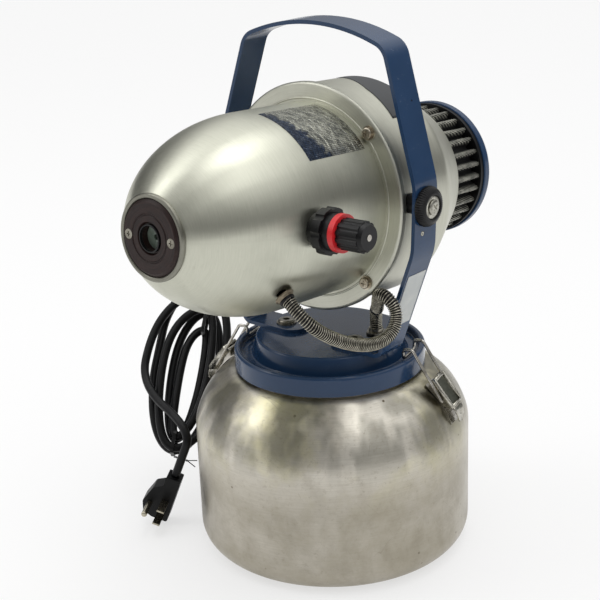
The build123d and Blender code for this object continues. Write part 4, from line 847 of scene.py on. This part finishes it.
white_film = plastic("white_film", srgb(186, 190, 190), srgb(206, 209, 206), 0.34, 0.5, 500.0)
film_line = [(0, 0.3, 10.6), (0.5, 0.3, 11.0), (10, 0.3, 11.1), (22, 0.3, 11.0), (34, 0.3, 11.1)]
film_line += [(41, 0.34, 11.0), (43.5, 0.5, 10.8), (44.0, 0.6, 10.4)]
leg_film = new_piece("leg_film", merged("leg_film", [strip(film_line, film_thick, on_leg)]), white_film)
fitted(leg_film, "base", "pale_plastic")

# Dark film on the housing behind the flange, reaching further forward as it runs down
film_front = [(48, 8.0), (72, 15.0), (90, 26.0)]    # degrees round the head, and the front edge's station
film_back_s, film_out = 42.0, 0.32
film_sweep, film_steps = 54, 36                     # degrees from the first of these, and steps


def on_housing(angle, out, wide):
    """Point on the film at an angle, a radius and a share of its half width."""
    (a0, s0), (a1, s1) = film_front[:2] if angle < film_front[1][0] else film_front[1:]
    half = (film_back_s - s0 - (s1 - s0) * (angle - a0) / (a1 - a0)) / 2
    return on_head(film_back_s - half + half * wide, angle, out)


dark_film = plastic("dark_film", srgb(46, 49, 52), srgb(64, 67, 70), 0.36, 0.5, 500.0)
angles = [film_front[0][0] + film_sweep * k / film_steps for k in range(film_steps + 1)]
arc = [(angle, housing_r + film_out, 1.0) for angle in angles]
film_mesh = merged("housing_film", [strip(arc, film_thick, on_housing)])
housing_film = new_piece("housing_film", film_mesh, dark_film)
fitted(housing_film, "head", "dark_plastic")

# Toggle levers: a channel with a dark floor, a light rim and a dished lip
right_latch_angle = 14.1
lever_pivot = Vector((90.3, 147.2))    # radius from the tank's axis, and height
lever_slope = radians(53)
lever_down = Vector((cos(lever_slope), -sin(lever_slope)))
lever_out = Vector((sin(lever_slope), cos(lever_slope)))
lever_steel = plated("lever_steel", srgb(118, 114, 102), srgb(206, 203, 192), 0.2, 0.34, 1.6)
panel_dark = plated("panel_dark", srgb(84, 86, 78), srgb(122, 124, 112), 0.36, 0.52, 1.4)


def lever_place(angle):
    """Place on the lever at an angle round the tank: down it, out from it and across it."""
    out = Vector((cos(radians(angle)), sin(radians(angle)), 0))
    across = Vector((out.y, -out.x, 0))

    def place(along, dome_painted_streak_share, wide):
        r, z = lever_pivot + lever_down * along + lever_out * dome_painted_streak_share
        return (out * r + Vector((0, 0, z)) + across * wide) * MM
    return place


for side, angle in (("right", right_latch_angle), ("left", right_latch_angle + 180)):
    place = lever_place(angle)
    wall = [(-1.8, 4.0), (0.2, 4.6), (22.6, 4.6), (24.6, 3.9), (25.6, 2.2), (24.6, 1.0)]
    wall += [(20.4, -2.8), (13, -2.8), (9, -1.6), (5, -1.6), (2.0, -2.0), (-1.8, -2.0)]
    parts = [prism(wall, 8.0, 9.2, place), prism(wall, -9.2, -8.0, place)]
    parts.append(prism([(-1.8, 4.0), (0.9, 4.5), (0.9, 2.0), (-1.8, 2.0)], -8.4, 8.4, place))
    parts.append(prism([(23.0, 4.4), (24.6, 3.9), (25.8, 2.4), (25.0, 1.4), (23.0, 1.6)], -8.4, 8.4, place))
    parts.append(prism([(0.4, 2.6), (23.4, 2.6), (23.4, 1.8), (0.4, 1.8)], -8.4, 8.4, place))
    # The lip is a row of stations along it, out from it and half across it
    lip = [(25.0, 2.6, 7.4), (27.0, 2.7, 7.3), (29.4, 2.4, 6.9), (31.6, 1.7, 6.4), (33.6, 0.8, 5.8)]
    lip += [(35.4, -0.3, 4.9), (36.8, -1.2, 3.7), (37.8, -1.9, 2.2), (38.2, -2.2, 0.8)]
    parts.append(strip(lip, 0.9, place, 0.35))
    channel = softened(merged("lever_channel_" + side, parts), 0.28)
    channel = new_piece("lever_channel_" + side, channel, lever_steel)
    fitted(channel, "lever_" + side, "plated_steel", "latch_lever_" + side)
    floor_parts = [prism([(1.3, 2.75), (22.6, 2.75), (22.6, 2.55), (1.3, 2.55)], -7.6, 7.6, place)]
    # A dark triangle lies on the lip: its corners along and across, each with its height
    triangle = [(27.4, 4.9, 2.72), (33.6, 0.0, 0.82), (27.4, -4.9, 2.72)]
    points = [place(a, height + level, w) for level in (0.14, -0.2) for a, w, height in triangle]
    floor_parts.append((points, [(0, 1, 2), (5, 4, 3), (0, 3, 4, 1), (1, 4, 5, 2), (2, 5, 3, 0)]))
    panel = new_piece("lever_panel_" + side, merged("lever_panel_" + side, floor_parts), panel_dark, False)
    fitted(panel, "lever_" + side, "plated_steel")

# Thin spun bead where the bell meets the flange
bell_edge_s = -19.0
bead = [(74.4, -0.2), (75.0, 0.45), (75.7, 0.5), (76.3, -0.2)]
flange_metal = spun_aluminium("flange_aluminium", srgb(190, 190, 177), srgb(206, 206, 193), 0.34, 0.44, 0.6)
bead_mesh = turned("bell_bead", on_head(bell_edge_s, 0, 0), -head_dir, bead, 256)
bell_bead = new_piece("bell_bead", bead_mesh, flange_metal)
fitted(bell_bead, "head", "spun_aluminium")

# Filter: blunt pleats round the axis, as an outer and an inner skin joined at both ends
filter_start_s, filter_length = 98.0, 35.0
pleat_shape = [(-0.5, 44.2), (-0.36, 44.6), (-0.16, 50.8), (-0.07, 51.9)]    # share of a pleat, radius
pleat_shape += [(0.07, 51.9), (0.16, 50.8), (0.36, 44.6)]
pleat_count, pleat_steps = 31, 12
medium_thick = 1.6
points, faces = [], []
ring = pleat_count * len(pleat_shape)
for inward in (0.0, medium_thick):
    for step in range(pleat_steps + 1):
        s = filter_start_s + filter_length * step / pleat_steps
        for pleat in range(pleat_count):
            sway = 0.04 * sin(pleat * 2.3 + step * 0.12) + 0.02 * sin(pleat * 5.1 - step * 0.2)
            for share, r in pleat_shape:
                turn = (pleat + share + sway) / pleat_count * 360
                lean = 0.2 * sin(pleat * 3.7 + step * 0.4) if r > 50 else 0.0
                points.append(on_head(s, turn, r + lean - inward * (1.25 if r > 50 else 1.0)))
for layer in (0, 1):
    for step in range(pleat_steps):
        for j in range(ring):
            first = (layer * (pleat_steps + 1) + step) * ring
            face = (first + j, first + (j + 1) % ring, first + ring + (j + 1) % ring, first + ring + j)
            faces.append(face if layer else tuple(reversed(face)))
for step in (0, pleat_steps):
    for j in range(ring):
        outer, inner = step * ring, (pleat_steps + 1 + step) * ring
        face = (outer + j, outer + (j + 1) % ring, inner + (j + 1) % ring, inner + j)
        faces.append(face if step == 0 else tuple(reversed(face)))
pleated = new_piece("pleated_filter", mesh_of("pleated_filter", points, faces), filter_medium(), False)
fitted(pleated, "head", "filter_paper", "filter_element")

# ---- Materials of the CAD nodes

steel = tank_steel()
bell_metal = spun_aluminium("bell_aluminium", srgb(192, 193, 178), srgb(206, 206, 192), 0.32, 0.40)
paint = blue_paint()
bright = plated("plated_steel", srgb(128, 122, 110), srgb(206, 203, 196))
screw_metal = plated("screw_metal", srgb(120, 106, 84), srgb(196, 188, 172), 0.22, 0.4, 2.0)
brass = plated("brass_fitting", srgb(122, 115, 98), srgb(200, 194, 176))
black = plastic("dark_plastic", srgb(9, 9, 10), srgb(20, 20, 22), 0.3, 0.48, 600.0, 0.3)
red = plastic("red_plastic", srgb(196, 22, 30), srgb(222, 40, 46), 0.28, 0.42, 700.0)
pale = plastic("pale_plastic", srgb(214, 214, 206), srgb(232, 232, 226))
gasket_rubber = plastic("gasket_rubber", srgb(36, 36, 38), srgb(52, 52, 54), 0.5, 0.7)
iron = plated("motor_iron", srgb(60, 58, 56), srgb(96, 94, 92), 0.4, 0.6)
phenolic = turned_disc()
foil_finish = foil()
# Painted reflection: the nozzle core's green-grey colour stands in for a reflection in its glassy face.
core_painted_reflection = plastic("core_painted_reflection", srgb(92, 106, 96), srgb(126, 138, 126), 0.1, 0.18, 300.0)
lip_metal = spun_aluminium("lip_aluminium", srgb(126, 125, 115), srgb(150, 149, 138), 0.32, 0.44)
# Dull steel for the nose screws and strap bolts; on the hose's lid fitting its darker tone is painted shade.
dull_and_painted_shade = plated("dull_steel_and_painted_shade", srgb(96, 92, 82), srgb(164, 160, 148), 0.24, 0.4, 1.5)

node_finish = {
    "tank_shell": steel, "lid": paint, "yoke_strap": paint, "filter_cap": paint,
    "nose_bell": bell_metal, "nose_lip_ring": lip_metal, "nose_disc": phenolic,
    "flange_ring": flange_metal, "motor_housing": flange_metal, "foil_plate": foil_finish,
    "nozzle_ring": black, "nozzle_core": core_painted_reflection, "nose_screws": dull_and_painted_shade, "flange_screws": screw_metal,
    "knob_screw": bright, "strap_bolts": dull_and_painted_shade, "strap_nuts": bright, "pivot_nuts": bright,
    "filter_nut": bright, "filter_rod": bright, "filter_rings": black, "filter_bracket": bright,
    "pivot_bushes": black, "valve_nut": black, "valve_knob": black, "valve_stem": bright,
    # The hose's lid fitting takes the darker dull steel as painted shade.
    "valve_collar": red, "hose_lid_fitting": dull_and_painted_shade, "dip_tube": pale, "dip_strainer": black,
    "lid_gasket": gasket_rubber, "feed_tube": pale, "cord_gland": black,
    "switch_body": black, "switch_lever": bright, "latch_bases": bright, "latch_pins": bright,
    "latch_bail_right": bright, "latch_bail_left": bright, "motor_stator": iron, "motor_mount": iron,
    "motor_bearings": bright, "motor_shaft": bright, "armature": iron,
    "front_fan": bright, "rear_fan": bright,
    "hank_ties": black, "plug_body": black_cord, "plug_blades": brass, "plug_ground_pin": brass,
}
for name, finish in node_finish.items():
    node = nodes[name]
    node.data.materials.clear()
    node.data.materials.append(finish)

# ---- Stage and light


floor_half = 40
floor_shade = 0.94
background_share = 0.62    # how much of plain white shows in the floor seen directly or mirrored


def make_stage():
    corners = [(-floor_half, -floor_half, 0), (floor_half, -floor_half, 0)]
    corners += [(floor_half, floor_half, 0), (-floor_half, floor_half, 0)]
    f = Finish("floor", 0.8)
    f.finish(color=(floor_shade,) * 3)
    tree = f.tree
    path = tree.nodes.new("ShaderNodeLightPath").outputs
    mirrored = f.calc("MAXIMUM", path["Is Glossy Ray"], path["Is Transmission Ray"])
    seen = f.calc("MAXIMUM", path["Is Camera Ray"], mirrored)
    white = tree.nodes.new("ShaderNodeEmission")
    both = tree.nodes.new("ShaderNodeMixShader")
    tree.links.new(f.calc("MULTIPLY", seen, background_share), both.inputs[0])
    tree.links.new(f.shader.outputs[0], both.inputs[1])
    tree.links.new(white.outputs[0], both.inputs[2])
    tree.links.new(both.outputs[0], tree.nodes["Material Output"].inputs["Surface"])
    new_piece("floor", mesh_of("floor", corners, [(0, 1, 2, 3)]), f.mat, False)


def toward(azimuth, elevation):
    """Unit direction, with the azimuth counted from +X toward +Y, in degrees."""
    a, e = radians(azimuth), radians(elevation)
    return Vector((cos(a) * cos(e), sin(a) * cos(e), sin(e)))


def area_light(name, azimuth, elevation, distance, width, height, radiance):
    data = bpy.data.lights.new(name, "AREA")
    data.shape = "RECTANGLE"
    data.size = width
    data.size_y = height
    data.energy = radiance * pi * width * height
    light = bpy.data.objects.new(name, data)
    bpy.context.scene.collection.objects.link(light)
    out = toward(azimuth, elevation)
    light.location = Vector((0, 0, 0.2)) + out * distance
    light.rotation_euler = (-out).to_track_quat("-Z", "Y").to_euler()


def make_light():
    """A white room: bright overhead, dimmer toward the horizon, dimmest on the viewer's side."""
    world = bpy.data.worlds.new("studio")
    bpy.context.scene.world = world
    world.use_nodes = True
    tree = world.node_tree
    where = tree.nodes.new("ShaderNodeTexCoord").outputs["Generated"]

    def ranged(value, low, high, start, end):
        node = tree.nodes.new("ShaderNodeMapRange")
        node.interpolation_type = "SMOOTHSTEP"
        tree.links.new(value, node.inputs["Value"])
        for key, given in {"From Min": low, "From Max": high, "To Min": start, "To Max": end}.items():
            node.inputs[key].default_value = given
        return node.outputs[0]

    def nearness(azimuth, elevation):
        node = tree.nodes.new("ShaderNodeVectorMath")
        node.operation = "DOT_PRODUCT"
        tree.links.new(where, node.inputs[0])
        node.inputs[1].default_value = toward(azimuth, elevation)
        return node.outputs["Value"]

    def combined(op, a, b):
        node = tree.nodes.new("ShaderNodeMath")
        node.operation = op
        tree.links.new(a, node.inputs[0])
        tree.links.new(b, node.inputs[1])
        return node.outputs[0]

    level = ranged(nearness(0, 90), 0.06, 1.0, 0.27, 1.4)
    darker_parts = [(-64, 14, 0.62, 0.99, 0.45), (-92, 52, 0.84, 0.975, 0.42)]
    darker_parts += [(180, 14, 0.78, 0.96, 0.34), (58, 2, 0.75, 0.96, 0.6)]
    for azimuth, elevation, low, high, dark in darker_parts:
        level = combined("MULTIPLY", level, ranged(nearness(azimuth, elevation), low, high, 1.0, dark))
    level = combined("ADD", level, ranged(nearness(-140, 24), 0.92, 0.985, 0.0, 0.6))
    tree.nodes["Background"].inputs["Color"].default_value = (1, 1, 1, 1)
    tree.links.new(level, tree.nodes["Background"].inputs["Strength"])
    area_light("key", -140, 46, 2.0, 0.5, 1.3, 1.7)
    area_light("fill", -12, 60, 2.2, 0.5, 0.8, 1.25)
    area_light("top", 60, 84, 2.2, 1.0, 1.0, 2.0)


make_stage()
make_light()
